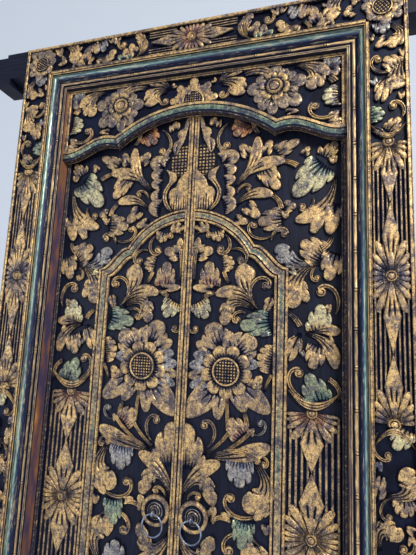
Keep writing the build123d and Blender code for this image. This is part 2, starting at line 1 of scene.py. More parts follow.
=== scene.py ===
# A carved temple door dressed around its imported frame: gilt carving on navy boards, painted mouldings
# with beads, turned rosettes. Drawn sizes are millimetres, and the finished meshes are metres.
import math

import bpy
import numpy as np
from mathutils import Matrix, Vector


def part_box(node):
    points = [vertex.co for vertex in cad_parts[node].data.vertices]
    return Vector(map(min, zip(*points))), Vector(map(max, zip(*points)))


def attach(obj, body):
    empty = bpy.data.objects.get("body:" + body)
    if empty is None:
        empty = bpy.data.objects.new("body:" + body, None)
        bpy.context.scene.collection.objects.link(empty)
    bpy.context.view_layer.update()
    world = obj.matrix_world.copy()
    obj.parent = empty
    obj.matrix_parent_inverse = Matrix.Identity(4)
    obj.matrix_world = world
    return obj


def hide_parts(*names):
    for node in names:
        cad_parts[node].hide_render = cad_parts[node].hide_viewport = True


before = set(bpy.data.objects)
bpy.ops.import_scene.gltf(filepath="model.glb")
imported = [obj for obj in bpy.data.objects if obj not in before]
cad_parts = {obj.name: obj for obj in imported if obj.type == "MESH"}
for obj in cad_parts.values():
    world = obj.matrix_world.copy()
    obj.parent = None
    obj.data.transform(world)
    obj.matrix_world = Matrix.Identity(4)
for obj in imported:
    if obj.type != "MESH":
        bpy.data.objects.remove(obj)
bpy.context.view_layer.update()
print("frame loaded")

mm = 0.001
pi = math.pi
boardLow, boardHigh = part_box("head_board")
sheetTop = 791.0                               # top of the head board on the drawn sheets
frontY = boardLow.y / mm                       # front of the border boards
flowerLine = boardHigh.z / mm - sheetTop       # height of the sheets' zero line
mirrorLine = -655.0                            # the leaves repeat themselves below this line
depths = dict(border=12.0, header=56.0, leaf=86.0)   # carved grounds, back from the border's front
relief = 11.4                                  # how far the carving stands off its ground
sink = 1.2                                     # how far a carved form is let into its ground
# How deep the cuts of each kind of form go
cutDepth = dict(blade=4.8, leaf=4.4, eye=4.2, scroll=4.6, crescent=4.0, lance=4.4, wheel=4.8, whorl=3.4,
                band=4.6)


def paint(r, g, b):
    # a colour written as 0 to 255, on the shader's own scale: a straight foot, then a power of 2.4
    c = np.array([r, g, b]) / 255
    return np.where(c <= 0.04045, c / 12.92, ((c + 0.055) / 1.055) ** 2.4)


paints = {name: paint(*written) for name, written in dict(
    gold=(211, 174, 116), pale=(212, 202, 156), green=(146, 156, 124), verdigris=(98, 122, 108),
    mist=(158, 184, 178), teal=(64, 108, 108), deep=(44, 56, 92), rose=(170, 118, 100), orange=(196, 132, 74),
    grey=(158, 154, 150), blue=(78, 90, 122), navy=(15, 18, 34), maroon=(120, 34, 40), brown=(84, 72, 66),
    umber=(150, 130, 106), violet=(60, 46, 50), sand=(190, 158, 112),
).items()}
# Each tint names the paint at a form's root and the paint at its tip
tints = dict(
    gold=("brown", "gold"), pale=("gold", "pale"), green=("teal", "green"), teal=("teal", "pale"),
    rose=("rose", "sand"), orange=("maroon", "orange"), root=("navy", "gold"), grey=("navy", "grey"),
    blue=("blue", "grey"), flower=("blue", "sand"), sand=("brown", "sand"), dusk=("navy", "brown"),
    shaded=("navy", "umber"),
)


# Small formulas that the forms share
def ease(low, high, t):
    # a smooth step from 0 at low to 1 at high
    t = np.clip((t - low) / (high - low), 0, 1)
    return t * t * (3 - 2 * t)


def upFrom(base, t):
    # goes from base to 1 as t goes from 0 to 1
    return base + (1 - base) * t


def fall(t, power=2):
    # a rounded fall from 1 in the middle to 0 at -1 and 1: the root of what t to a power leaves of 1
    return np.sqrt(np.maximum(1 - np.abs(t) ** power, 0))


def bell(t, width, power=2):
    # 1 at 0 and soon nothing beyond width, as a normal curve
    return np.exp(-(t / width) ** power)


def grooves(t, power):
    # 1 at every even number and 0 at every odd one: a raised cosine, made narrower by power
    return (0.5 + 0.5 * np.cos(pi * t)) ** power


def squares(a, b, cell, steep=2.0, cut=0.75):
    # a lattice of flat squares: two clipped cosines, one across the other
    return np.prod([np.clip(np.abs(np.cos(pi * c / cell)) * steep - cut, 0, 1) for c in (a, b)], axis=0)


def down(low, high, count):
    # even steps down the rows of a grid
    return np.linspace(low, high, count)[:, None]


def over(low, high, count):
    # even steps over the columns of a grid
    return np.linspace(low, high, count)[None, :]


def fullTurn(count):
    # even steps round a circle, over the columns of a grid
    return np.linspace(0, 2 * pi, count + 1)[None, :-1]


def spun(x, z, radius, turn):
    # the plan of a circle round x, z
    return x + radius * np.cos(turn), z + radius * np.sin(turn)


def placed(x, z, across, along, upright):
    # the plan of a form that stands upright or lies level at x, z
    return (x + across, z + along) if upright else (x + along, z + across)


def onDoor(x, depth, z):
    # points from the sheets' x and z and from the depth behind the border's front
    return np.stack(np.broadcast_arrays(x, frontY + depth, z + flowerLine), axis=-1)


def blendPaint(tint, share):
    # colour of each point, share 0 at the root and 1 at the tip
    root, tip = (paints[name] for name in tints[tint])
    return root + (tip - root) * np.asarray(share)[..., None]


def banded(*bands):
    # a section's rows from its bands, which each give a paint and then the rows that have it
    return [(*row, name) for name, *rows in bands for row in rows]


def rowPaint(rows):
    # gilding and paint of a section's rows, which are their last two values
    return np.array([row[-2] for row in rows])[None, :], np.array([paints[row[-1]] for row in rows])[None, :]


# Surfaces: a form is a grid of points with its gilding and paint, closed at its seams, ends or underside.
# Its gilding share falls to the navy ground in cuts, creases, rims and roots: ground paint and painted shade
def form(points, giltAndPaintedShade, colour, wrap=False, pole=False, closed=True):
    shape = points.shape[:2]
    giltAndPaintedShade, colour = np.broadcast_to(giltAndPaintedShade, shape), np.broadcast_to(colour, shape + (3,))
    return dict(points=points, giltAndPaintedShade=giltAndPaintedShade, colour=colour, wrap=wrap, pole=pole, closed=closed)


def carved(plan, height, giltAndPaintedShade, colour, ground, pole=False):
    # a relief grid: its plan is x and z, its height stands off the ground, and its rim drops into it.
    # The colour is given point by point, or as a tint that follows the gilding
    x, z, height, giltAndPaintedShade = np.broadcast_arrays(*plan, height, giltAndPaintedShade)
    colour = blendPaint(colour, giltAndPaintedShade) if isinstance(colour, str) else np.broadcast_to(colour, x.shape + (3,))
    edges = ((0, 1), (0, 0)) if pole else ((1, 1), (1, 1))
    x, z = (np.pad(a, edges, mode="edge") for a in (x, z))
    # the dropped rim gets no gilding, so each form is edged with the navy ground paint, which also stands as
    # painted shade at its foot
    height, giltAndPaintedShade = (np.pad(a, edges, constant_values=rim) for a, rim in ((height, -sink), (giltAndPaintedShade, 0.0)))
    colour = np.pad(colour, (*edges, (0, 0)), mode="edge")
    return form(onDoor(x, ground - height, z), giltAndPaintedShade, colour, wrap=pole, pole=pole)


def flipped(forms, axis, plane=0.0):
    # the same forms on the other side of a plane: each distance from it changes its sign
    turned = []
    for f in forms:
        points = f["points"].copy()
        points[..., axis] = 2 * plane - points[..., axis]
        turned.append(dict(f, points=points))
    return turned


def onSide(side, forms):
    # forms are drawn for the right side of the door, and the left one is their mirror image
    return flipped(forms, 0) if side == "left" else forms


def trim(forms, axis, low=None, high=None):
    # presses what passes two planes back onto them
    for f in forms:
        f["points"][..., axis] = np.clip(f["points"][..., axis], low, high)
    return forms


def formFaces(f):
    # quads of the grid, triangles at its pole, and one flat face over each open end or underside
    rows, cols = f["points"].shape[:2]
    index = np.arange(rows * cols).reshape(rows, cols)
    if f["wrap"]:
        index = np.concatenate([index, index[:, :1]], axis=1)
    if f["pole"]:
        index[0, :] = index[0, 0]
    quads = np.stack([index[:-1, :-1], index[1:, :-1], index[1:, 1:], index[:-1, 1:]], axis=-1).reshape(-1, 4)
    tip = quads[:, 0] == quads[:, 3]
    blocks = [quads[~tip], quads[tip][:, :3]]
    if f["closed"] and f["wrap"]:
        blocks.append(index[-1:, :-1][:, ::-1])
        if not f["pole"]:
            blocks.append(index[:1, :-1])
    elif f["closed"]:
        border = [index[0], index[1:, -1], index[-1, -2::-1], index[-2:0:-1, 0]]
        blocks.append(np.concatenate(border)[None, :])
    return [block for block in blocks if len(block)]


def shellVolume(points, blocks):
    # signed volume under every face, fanned from its first corner: positive when faces point outwards
    volume = 0.0
    for block in blocks:
        corners = points[block]
        volume += (corners[:, :1] * np.cross(corners[:, 1:-1], corners[:, 2:])).sum()
    return volume


def makePiece(name, forms, material, body, node, sharp=38):
    # joins the forms to one mesh, turns each shell outwards, and fastens the piece to its body
    points, giltAndPaintedShade, colour, loops, totals = [], [], [], [], []
    count = 0
    for f in forms:
        p = f["points"].reshape(-1, 3) * mm
        blocks = formFaces(f)
        if shellVolume(p - p.mean(0), blocks) < 0:
            blocks = [block[:, ::-1] for block in blocks]
        used, corners = np.unique(np.concatenate([block.ravel() for block in blocks]), return_inverse=True)
        points.append(p[used])
        giltAndPaintedShade.append(f["giltAndPaintedShade"].ravel()[used])
        colour.append(f["colour"].reshape(-1, 3)[used])
        loops.append(corners.ravel() + count)
        totals += [np.full(len(block), block.shape[1]) for block in blocks]
        count += len(used)
    points, giltAndPaintedShade, colour, loops, totals = (np.concatenate(a) for a in (points, giltAndPaintedShade, colour, loops, totals))
    mesh = bpy.data.meshes.new(name)
    mesh.vertices.add(len(points))
    mesh.vertices.foreach_set("co", points.astype(np.float32).ravel())
    mesh.loops.add(len(loops))
    mesh.loops.foreach_set("vertex_index", loops.astype(np.int32))
    mesh.polygons.add(len(totals))
    mesh.polygons.foreach_set("loop_start", np.concatenate([[0], np.cumsum(totals)[:-1]]).astype(np.int32))
    mesh.update(calc_edges=True)
    mesh.validate()
    mesh.attributes.new("giltAndPaintedShade", "FLOAT", "POINT").data.foreach_set("value", giltAndPaintedShade.astype(np.float32))
    rgba = np.column_stack([colour, np.ones(len(colour))]).astype(np.float32)
    mesh.attributes.new("paint", "FLOAT_COLOR", "POINT").data.foreach_set("color", rgba.ravel())
    mesh.polygons.foreach_set("use_smooth", np.ones(len(mesh.polygons), dtype=bool))
    mesh.set_sharp_from_angle(angle=math.radians(sharp))
    piece = bpy.data.objects.new(name, mesh)
    bpy.context.scene.collection.objects.link(piece)
    mesh.materials.append(material)
    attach(piece, body)
    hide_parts(node)
    print(f"{name}: {int((totals - 2).sum())} triangles")


# Materials
def startMaterial(name):
    # a new material, with its tree, its shader and the object's own coordinates
    material = bpy.data.materials.new(name)
    material.use_nodes = True
    tree = material.node_tree
    shader = tree.nodes["Principled BSDF"]
    place = tree.nodes.new("ShaderNodeTexCoord").outputs["Object"]
    return material, tree, shader, place


def noiseNode(tree, place, scale, detail=3.0, rough=0.55, stretch=None):
    # noise over the object's own coordinates, drawn out along an axis where stretch says so
    if stretch:
        mapping = tree.nodes.new("ShaderNodeMapping")
        mapping.inputs["Scale"].default_value = stretch
        tree.links.new(place, mapping.inputs["Vector"])
        place = mapping.outputs["Vector"]
    noise = tree.nodes.new("ShaderNodeTexNoise")
    for socket, value in (("Scale", scale), ("Detail", detail), ("Roughness", rough)):
        noise.inputs[socket].default_value = value
    tree.links.new(place, noise.inputs["Vector"])
    return noise.outputs["Fac"]


def rampNode(tree, source, low, high, lowValue=0.0, highValue=1.0):
    # maps low..high to lowValue..highValue smoothly
    ramp = tree.nodes.new("ShaderNodeMapRange")
    ramp.interpolation_type = "SMOOTHSTEP"
    for socket, value in (("From Min", low), ("From Max", high), ("To Min", lowValue), ("To Max", highValue)):
        ramp.inputs[socket].default_value = value
    tree.links.new(source, ramp.inputs["Value"])
    return ramp.outputs["Result"]


def mathNode(tree, kind, a, b):
    # one sum of two numbers or sockets
    node = tree.nodes.new("ShaderNodeMath")
    node.operation = kind
    for socket, value in zip(node.inputs, (a, b)):
        if isinstance(value, (int, float)):
            socket.default_value = value
        else:
            tree.links.new(value, socket)
    return node.outputs[0]


def mixNode(tree, share, a, b):
    # a colour that goes from a to b with share
    node = tree.nodes.new("ShaderNodeMix")
    node.data_type = "RGBA"
    for socket, value in ((node.inputs[0], share), (node.inputs[6], a), (node.inputs[7], b)):
        if isinstance(value, np.ndarray):
            socket.default_value = (*value, 1.0)
        else:
            tree.links.new(value, socket)
    return node.outputs[2]


def bumpNode(tree, shader, height, strength, distance):
    # raises the surface by height times distance, in metres
    bump = tree.nodes.new("ShaderNodeBump")
    bump.inputs["Strength"].default_value = strength
    bump.inputs["Distance"].default_value = distance
    tree.links.new(height, bump.inputs["Height"])
    tree.links.new(bump.outputs["Normal"], shader.inputs["Normal"])


# A noise is its scale, detail and roughness, and a bump its strength and its height in metres. Every other
# pair or four is a ramp: where it starts and ends, and its values there where they aren't 0 and 1
gilding = dict(
    speck=(380.0, 3.0, 0.6), blotch=(95.0, 4.0, 0.62), patch=(24.0, 3.0, 0.6),
    speckShare=0.5, blotchShare=0.6, grimeInWear=0.55,
    ground=paint(7, 10, 25), dust=paint(18, 24, 46), wash=paint(56, 58, 80), paintedGlint=paint(246, 222, 170),
    left=(0.52, 1.06), fine=(0.60, 0.43, 0.0, 0.86), broad=(0.58, 0.34, 0.0, 0.78),
    fineRun=(0.60, 0.43, 0.0, 0.6), broadRun=(0.58, 0.34, 0.0, 0.5), bright=(0.58, 0.74, 0.0, 0.55),
    dusty=(0.35, 0.7), metal=(0.3, 1.0, 0.0, 0.4), rough=(0.4, 0.7, 0.62, 0.36), specular=0.12,
    drawnOut=0.12, bump=(0.5, 0.0012),
)


def gildedMaterial(name="wornGildingAndPaintedLight", along=None):
    # paint on raised wood: a dark wash lies over it in freckles and blotches, pale painted highlights lie
    # where the noise is high, and the ground shows where the gilding share is low: worn through at random,
    # and as painted shade in the cuts, rims and roots. Streaks follow the run of a moulding.
    material, tree, shader, place = startMaterial(name)
    tune = gilding
    colour, giltShadeReader = (tree.nodes.new("ShaderNodeAttribute") for _ in range(2))
    colour.attribute_name, giltShadeReader.attribute_name = "paint", "giltAndPaintedShade"
    run, stretch = "", None
    if along is not None:
        run, stretch = "Run", [1.0, 1.0, 1.0]
        stretch[along] = tune["drawnOut"]
    noises = [noiseNode(tree, place, *tune[kind], stretch) for kind in ("speck", "blotch", "patch")]
    patch = noises[2]
    shares = tune["speckShare"], tune["blotchShare"]
    parts = [mathNode(tree, "MULTIPLY", noise, share) for noise, share in zip(noises, shares)]
    grimeAndGlint = mathNode(tree, "ADD", *parts)
    # painted shade: the gilding share from the mesh is low in cuts, rims and roots, where the ground shows
    worn = mathNode(tree, "ADD", mathNode(tree, "MULTIPLY", grimeAndGlint, tune["grimeInWear"]), giltShadeReader.outputs["Fac"])
    share = rampNode(tree, worn, *tune["left"])
    washed = mixNode(tree, rampNode(tree, grimeAndGlint, *tune["fine" + run]), colour.outputs["Color"], tune["wash"])
    washed = mixNode(tree, rampNode(tree, patch, *tune["broad" + run]), washed, tune["wash"])
    # painted highlight: the pale glint colour comes in where the noise is high
    bright = mixNode(tree, rampNode(tree, grimeAndGlint, *tune["bright"]), washed, tune["paintedGlint"])
    ground = mixNode(tree, rampNode(tree, patch, *tune["dusty"]), tune["ground"], tune["dust"])
    tree.links.new(mixNode(tree, share, ground, bright), shader.inputs["Base Color"])
    tree.links.new(rampNode(tree, share, *tune["metal"]), shader.inputs["Metallic"])
    tree.links.new(rampNode(tree, grimeAndGlint, *tune["rough"]), shader.inputs["Roughness"])
    shader.inputs["Specular IOR Level"].default_value = tune["specular"]
    bumpNode(tree, shader, grimeAndGlint, *tune["bump"])
    return material


timbers = dict(
    darkTimber=dict(light=paint(21, 26, 48), dark=paint(8, 11, 25), scale=26.0, rough=(0.42, 0.66)),
    bareTimber=dict(light=paint(138, 98, 62), dark=paint(84, 56, 34), scale=30.0, rough=(0.46, 0.62)),
)
grainPlan = dict(across=9.0, along=0.6, fine=(6.0, 0.6), cloud=7.0, streak=(0.32, 0.68),
                 shade=(0.4, 0.75, 0.0, 0.5), span=(0.2, 0.8), specular=0.2, bump=(0.5, 0.0008))
rearPlan = dict(start=92.0, full=110.0, noise=(9.0, 5.0, 0.62), drawnOut=0.8, rubbed=(0.36, 0.72, 0.0, 0.8),
                light=paint(84, 64, 50), dark=paint(44, 34, 34))
revealPlan = dict(depth=74.0, side=0.52, noise=(22.0, 4.0, 0.6), stretch=[1.0, 1.0, 0.3], warm=(0.36, 0.60),
                  worn=(0.58, 0.72), brown=paint(128, 88, 62), violet=paint(62, 56, 84),
                  ochre=paint(178, 128, 72))


def timberMaterial(name, along, lined=False):
    # grain drawn out along the piece, with darker streaks and a slight ripple
    tune, plan = timbers[name], grainPlan
    material, tree, shader, place = startMaterial(name + "XYZ"[along])
    stretch = [plan["across"]] * 3
    stretch[along] = plan["along"]
    grain = noiseNode(tree, place, tune["scale"], *plan["fine"], stretch)
    cloud = noiseNode(tree, place, plan["cloud"])
    streak = rampNode(tree, grain, *plan["streak"])
    colour = mixNode(tree, streak, tune["dark"], tune["light"])
    colour = mixNode(tree, rampNode(tree, cloud, *plan["shade"]), colour, tune["dark"])
    splitter = tree.nodes.new("ShaderNodeSeparateXYZ")
    tree.links.new(place, splitter.inputs["Vector"])
    axes = splitter.outputs
    if name == "darkTimber":
        # the paint is rubbed through to brown wood in streaks at the back
        plan = rearPlan
        rear = rampNode(tree, axes["Y"], (frontY + plan["start"]) * mm, (frontY + plan["full"]) * mm)
        rubbed = noiseNode(tree, place, *plan["noise"], [s ** plan["drawnOut"] for s in stretch])
        rubbed = mathNode(tree, "MULTIPLY", rear, rampNode(tree, rubbed, *plan["rubbed"]))
        colour = mixNode(tree, rubbed, colour, mixNode(tree, streak, plan["dark"], plan["light"]))
    if lined:
        # in front of the leaves' face the timber is painted brown, with violet and ochre patches
        plan = revealPlan
        side, limit = plan["side"], (frontY + plan["depth"]) * mm
        inside = rampNode(tree, mathNode(tree, "ABSOLUTE", axes["X"], 0.0), side, side + mm, 1.0, 0.0)
        worn = noiseNode(tree, place, *plan["noise"], plan["stretch"])
        lining = mixNode(tree, rampNode(tree, worn, *plan["warm"]), plan["violet"], plan["brown"])
        lining = mixNode(tree, rampNode(tree, worn, *plan["worn"]), lining, plan["ochre"])
        front = rampNode(tree, axes["Y"], limit, limit + mm, 1.0, 0.0)
        colour = mixNode(tree, mathNode(tree, "MULTIPLY", front, inside), colour, lining)
    tree.links.new(colour, shader.inputs["Base Color"])
    tree.links.new(rampNode(tree, grain, *grainPlan["span"], *tune["rough"]), shader.inputs["Roughness"])
    shader.inputs["Specular IOR Level"].default_value = grainPlan["specular"]
    bumpNode(tree, shader, grain, *grainPlan["bump"])
    return material


ironPlan = dict(pit=(260.0, 4.0), rub=(40.0, 2.0), rubbed=(0.3, 0.7), pitted=(0.62, 0.72, 0.0, 0.7),
                metal=0.9, rough=(0.3, 0.7, 0.24, 0.5), bump=(0.3, 0.0003), dull=paint(96, 102, 120),
                bright=paint(170, 178, 196), rust=paint(60, 58, 62))


def ironMaterial():
    # dull steel wire: bright where hands rub it, with small dark pits
    material, tree, shader, place = startMaterial("ironWire")
    plan = ironPlan
    pit = noiseNode(tree, place, *plan["pit"])
    rub = noiseNode(tree, place, *plan["rub"])
    colour = mixNode(tree, rampNode(tree, rub, *plan["rubbed"]), plan["dull"], plan["bright"])
    colour = mixNode(tree, rampNode(tree, pit, *plan["pitted"]), colour, plan["rust"])
    tree.links.new(colour, shader.inputs["Base Color"])
    shader.inputs["Metallic"].default_value = plan["metal"]
    tree.links.new(rampNode(tree, pit, *plan["rough"]), shader.inputs["Roughness"])
    bumpNode(tree, shader, pit, *plan["bump"])
    return material


gilded = gildedMaterial()
gildedRun = {along: gildedMaterial("streakedPaintAndPaintedLight" + "XYZ"[along], along) for along in (0, 2)}
iron = ironMaterial()
timberOf = {(name, along): timberMaterial(name, along) for name in timbers for along in (0, 2)}


# Leaves. A spot is base x, z, tip x, z and width, then the bow of the midrib and the tint where it has them.
# parts are where the lobes meet, from -1 to 1, and neck is the share of the length before the leaf opens out
# dark is the share of the length over which the gilding comes in from the root: navy ground paint there, and
# painted shade where the leaf goes under its neighbours
leafKinds = dict(
    comb=dict(parts=(-0.62, -0.23, 0.23, 0.62), base=0.88, spread=1.22, notch=0.20, square=2.3, pitch=6.4,
              slitEnd=0.46, dark=0.16),
    full=dict(parts=(-0.60, -0.22, 0.22, 0.60), base=0.74, spread=1.34, notch=0.19, square=1.9, pitch=6.6,
              slitEnd=0.42, dark=0.18),
    sepal=dict(parts=(-0.50, 0.42), base=0.72, spread=1.16, notch=0.20, square=2.3, pitch=6.6, slitEnd=0.58,
               dark=0.34),
    oval=dict(parts=(), base=0.60, spread=1.20, notch=0.0, square=2.1, pitch=6.6, slitEnd=0.52, dark=0.30),
    small=dict(parts=(-0.34, 0.34), base=0.56, spread=1.26, notch=0.20, square=2.2, pitch=6.2, slitEnd=0.44,
               dark=0.36),
    spray=dict(parts=(-0.46, 0.0, 0.46), neck=0.12, base=0.34, spread=0.86, notch=0.20, square=2.4, pitch=5.6,
               slitEnd=0.60, dark=0.3),
    scallop=dict(parts=(), base=0.86, spread=1.35, notch=0.0, square=2.2, pitch=6.2, slitEnd=0.46, dark=0.4),
    bud=dict(parts=(0.1,), base=0.5, spread=1.3, notch=0.12, square=2.2, pitch=7.5, slitEnd=0.30, dark=0.3),
)
# Blades keep their cuts along their whole length. foot is the width at the base, shoulder the share of the
# length where a blade is widest, and each notch is a place along it and its side, 1 the outside of the bow
bladeKinds = dict(
    tongue=dict(foot=0.26, shoulder=0.68, ribs=3, slitEnd=0.76, head=1.9, notches=()),
    plume=dict(foot=0.30, shoulder=0.74, ribs=4, slitEnd=0.70, head=2.4,
               notches=((0.60, 1), (0.78, -1), (0.84, 1))),
    stem=dict(foot=0.85, shoulder=0.97, ribs=3, slitEnd=1.2, head=3.0, notches=()),
)


def bentPlan(ends, bow, u, across):
    # the plan of a leaf bent along a parabola: u runs along its midrib, and across stands square to it
    x0, z0, x1, z1 = ends
    length = math.hypot(x1 - x0, z1 - z0)
    lift = 4 * bow * (1 - 2 * u)
    unit = np.hypot(length, lift)
    a = u * length - across * lift / unit
    b = 4 * bow * u * (1 - u) + across * length / unit
    ax, az = (x1 - x0) / length, (z1 - z0) / length
    return x0 + ax * a - az * b, z0 + az * a + ax * b


def bladeForm(kind, ground, tall, ends, width, bow, tint):
    # A ribbed blade: half its width grows smoothly from foot to shoulder, then closes as a round head.
    # A notch on its side runs in as a crease towards the foot.
    tune = bladeKinds[kind]
    t, v = down(0, 1, 29), over(-1, 1, 8 * tune["ribs"] + 1)
    u = 0.5 * t + 0.5 * np.sin(pi / 2 * t)
    foot, shoulder, slitEnd = tune["foot"], tune["shoulder"], tune["slitEnd"]
    head = np.clip((u - shoulder) / (1 - shoulder), 0, 1)
    half = width / 2 * upFrom(foot, ease(0.0, shoulder, u))
    half = half * np.maximum(1 - head ** tune["head"], 0.003) ** 0.5 * np.ones_like(v)
    crease = np.zeros_like(half)
    for place, side in tune["notches"]:
        outside = ease(0.05, 0.5, v * side * (1 if bow >= 0 else -1))
        half = half * (1 - 0.36 * bell(u - place, 0.030) * outside)
        crease = np.maximum(crease, bell(u - place + 0.20 * (1 - np.abs(v)), 0.022) * outside)
    comb = grooves(tune["ribs"] * (v + 1), 1.1 + 2.4 * u) * ease(slitEnd, slitEnd - 0.24, u + 0.1 * v * v)
    cut = np.maximum(comb, crease) * fall(v, 12)
    rim = fall(v, 6) * fall(head, 6)
    height = relief * tall * (0.74 + 0.22 * ease(0.1, 0.8, u)) * upFrom(0.62, rim) - cutDepth["blade"] * cut
    # the gilding gives way to the navy ground in the cuts, towards the rim and at the foot: ground paint, and
    # painted shade
    giltAndPaintedShade = (1 - cut) * upFrom(0.35, ease(0.0, 0.22, u)) * upFrom(0.22, rim)
    return carved(bentPlan(ends, bow, u, half * v), height, giltAndPaintedShade, blendPaint(tint, ease(0.0, 0.6, u)), ground)


def leafForm(kind, ground, tall, ends, width, bow, tint):
    # An ellipse as long and as wide as the spot says, cut into round lobes with a sharp notch between them.
    # The surface is ruled from the foot of the leaf to that outline, and then bent along the bowed midrib.
    tune = leafKinds[kind]
    neck, square = tune.get("neck", 0.0), tune["square"]
    length = math.dist(ends[:2], ends[2:])
    bounds = np.array([-1, *tune["parts"], 1])
    slits = max(2, round(width * tune["base"] / tune["pitch"]))
    s = down(0, 1, 16 if length > 55 else 11) ** 0.9
    v = over(-1, 1, max(12 * (len(bounds) - 1), 6 * slits) + 1)
    lobe = np.clip(np.searchsorted(bounds, v, side="right") - 1, 0, len(bounds) - 2)
    q = (2 * v - bounds[lobe] - bounds[lobe + 1]) / (bounds[lobe + 1] - bounds[lobe])
    arch = fall(q, 2.4)
    opened = length * (1 - neck)
    angle = v * tune["spread"]
    oval = (np.abs(np.cos(angle)) / opened) ** square + (np.abs(np.sin(angle)) / (width / 2)) ** square
    reach = oval ** (-1 / square) * (1 - tune["notch"] * (1 - arch))
    reach = reach / (reach * np.cos(angle)).max() * opened
    part = np.clip((s - neck) / (1 - neck), 0, 1)
    along = np.minimum(s, neck) * length + part * reach * np.cos(angle)
    foot = tune["base"] * width / 2 * (upFrom(0.66, ease(0.0, neck, s)) if neck else 1.0)
    across = foot * v * (1 - part) + part ** 0.85 * reach * np.sin(angle)
    slitEnd = tune["slitEnd"] + 0.1 * np.cos(7 * v + length) - 0.16 * v * v * (neck == 0)
    comb = grooves(slits * v, 1.3 + 6 * s) * ease(slitEnd + 0.08, slitEnd - 0.16, s)
    creases = [bell(v - bound, 0.034) * ease(0.62, 0.94, s) for bound in tune["parts"]]
    cut = np.maximum.reduce([comb, *creases]) * fall(v, 10)
    rim = fall(s, 9) * fall(v, 18)
    height = relief * tall * (0.78 + 0.12 * ease(0, 0.6, s) + 0.10 * arch * s) * upFrom(0.62, rim)
    height = height * upFrom(0.62, ease(0.0, 0.5, s)) - cutDepth["leaf"] * cut
    # the gilding gives way to the navy ground in the cuts, towards the rim and at the root: ground paint, and
    # painted shade where the leaf sinks under its neighbours
    giltAndPaintedShade = (1 - cut) * upFrom(0.14, ease(0.42 * tune["dark"], tune["dark"], s)) * upFrom(0.22, rim)
    colour = blendPaint(tint, ease(0.05, 0.62, s) * upFrom(0.8, arch))
    return carved(bentPlan(ends, bow, along / length, across), height, giltAndPaintedShade, colour, ground)


def leafForms(leaves, ground, tall=1.0, tint="gold"):
    # The leaves of each kind. A leaf's own share, a sine of where it starts, sets how high and bright it is
    forms = []
    for kind, spots in leaves.items():
        shape = bladeForm if kind in bladeKinds else leafForm
        for spot in spots:
            own = 0.5 + 0.5 * math.sin(spot[0] * 1.7 + spot[1] * 0.9)
            bow, ownTint = (*spot[5:], *(0, tint)[len(spot) - 5:])
            f = shape(kind, ground, tall * upFrom(0.80, own), spot[:4], spot[4], bow, ownTint)
            forms.append(dict(f, colour=f["colour"] * (0.80 + 0.26 * own)))
    return forms


def ballForm(x, z, radius, ground, tint="gold", tall=1.0, flat=0.35, wind=0, start=0.0):
    # a round boss: height follows a circle's arc over a short upright side. A spiral line may be cut in it,
    # whose radius grows with the angle from start, the way wind says
    s, turn = down(0, 1, 12), fullTurn(28)
    height, giltAndPaintedShade = relief * tall * upFrom(flat, fall(s)), upFrom(0.6, fall(s))
    if wind:
        grown = np.mod(-wind * (turn - start), 2 * pi) / (2 * pi)
        cut = bell(s - 0.30 - 0.56 * grown, 0.10) * ease(0.0, 0.14, grown)
        height, giltAndPaintedShade = height - cutDepth["eye"] * cut, giltAndPaintedShade * (1 - 0.95 * cut)
    return carved(spun(x, z, radius * s, turn), height, giltAndPaintedShade, tint, ground, pole=True)


# A scroll is its eye's x and z, reach, start and sweep in degrees, the width of its band, and its tint
def scrollForms(ground, x, z, reach, start, sweep, width, tint="gold"):
    # a band of two lines winds in and ends in a ball: its radius shrinks by the same share each turn
    tall, t, v = 0.86, down(0, 1, 34), over(-1, 1, 11)
    half = width * (0.40 + 0.10 * t) * ease(-0.10, 0.16, t)
    radius = reach * (0.62 * width / reach) ** t + half * v
    cut = bell(v + 0.08, 0.24) * ease(0.0, 0.1, t) * ease(1.0, 0.86, t)
    rim = upFrom(0.6, fall(v, 8))
    height = relief * tall * rim * upFrom(0.80, t) - cutDepth["scroll"] * cut
    giltAndPaintedShade = (1 - cut) * rim * upFrom(0.45, ease(0, 0.25, t))
    band = carved(spun(x, z, radius, np.radians(start + sweep * t)), height, giltAndPaintedShade, tint, ground)
    wind, turned = (1 if sweep > 0 else -1), math.radians(start + sweep)
    return [band, ballForm(x, z, width * 0.88, ground, tint, tall * 1.12, 0.6, wind, turned)]


def scrolls(spots, ground):
    # a scroll and its ball for each spot
    return [f for spot in spots for f in scrollForms(ground, *spot)]


def crescentForm(x, z, half, rise, thick, ground, upright=True):
    # a bowed band with two cut lines: its middle line is a parabola and it thins towards its horns
    t, v = down(-1, 1, 41), over(0, 1, 15)
    along = rise * t * t + (1 if rise > 0 else -1) * thick * (1.15 - t * t) * v
    cut = bell(v - 0.3, 0.07) + bell(v - 0.68, 0.07)
    rim = upFrom(0.6, fall(2 * v - 1, 8))
    height = relief * 0.95 * rim - cutDepth["crescent"] * cut
    return carved(placed(x, z, half * t, along, upright), height, (1 - 0.9 * cut) * rim, "gold", ground)


# Petal wheels: bounds of the petals in degrees from the side, and how far each one reaches
lozengePetals = [(0, 23, 45), (23, 44, 52), (44, 62, 69), (62, 77, 94), (77, 103, 62)]
lozengeSize = dict(width=42.0, length=184.0, knob=14.0)
lozengeTip = (20.5, 14.0, 98.0)                # the straight tip: half its width, its foot, its widest place


def petalReach(turn):
    # outline of a quarter wheel, a round petal between each two bounds, and each point's place on its petal
    fold = np.degrees(np.arccos(np.abs(np.cos(turn))))
    reach, place = np.zeros_like(turn), np.zeros_like(turn)
    for low, high, tip in lozengePetals:
        q = (fold - (low + high) / 2) / ((high - low) / 2)
        inside = np.abs(q) <= 1
        reach = np.where(inside, tip * upFrom(0.64, fall(q)), reach)
        place = np.where(inside, q, place)
    return reach, place


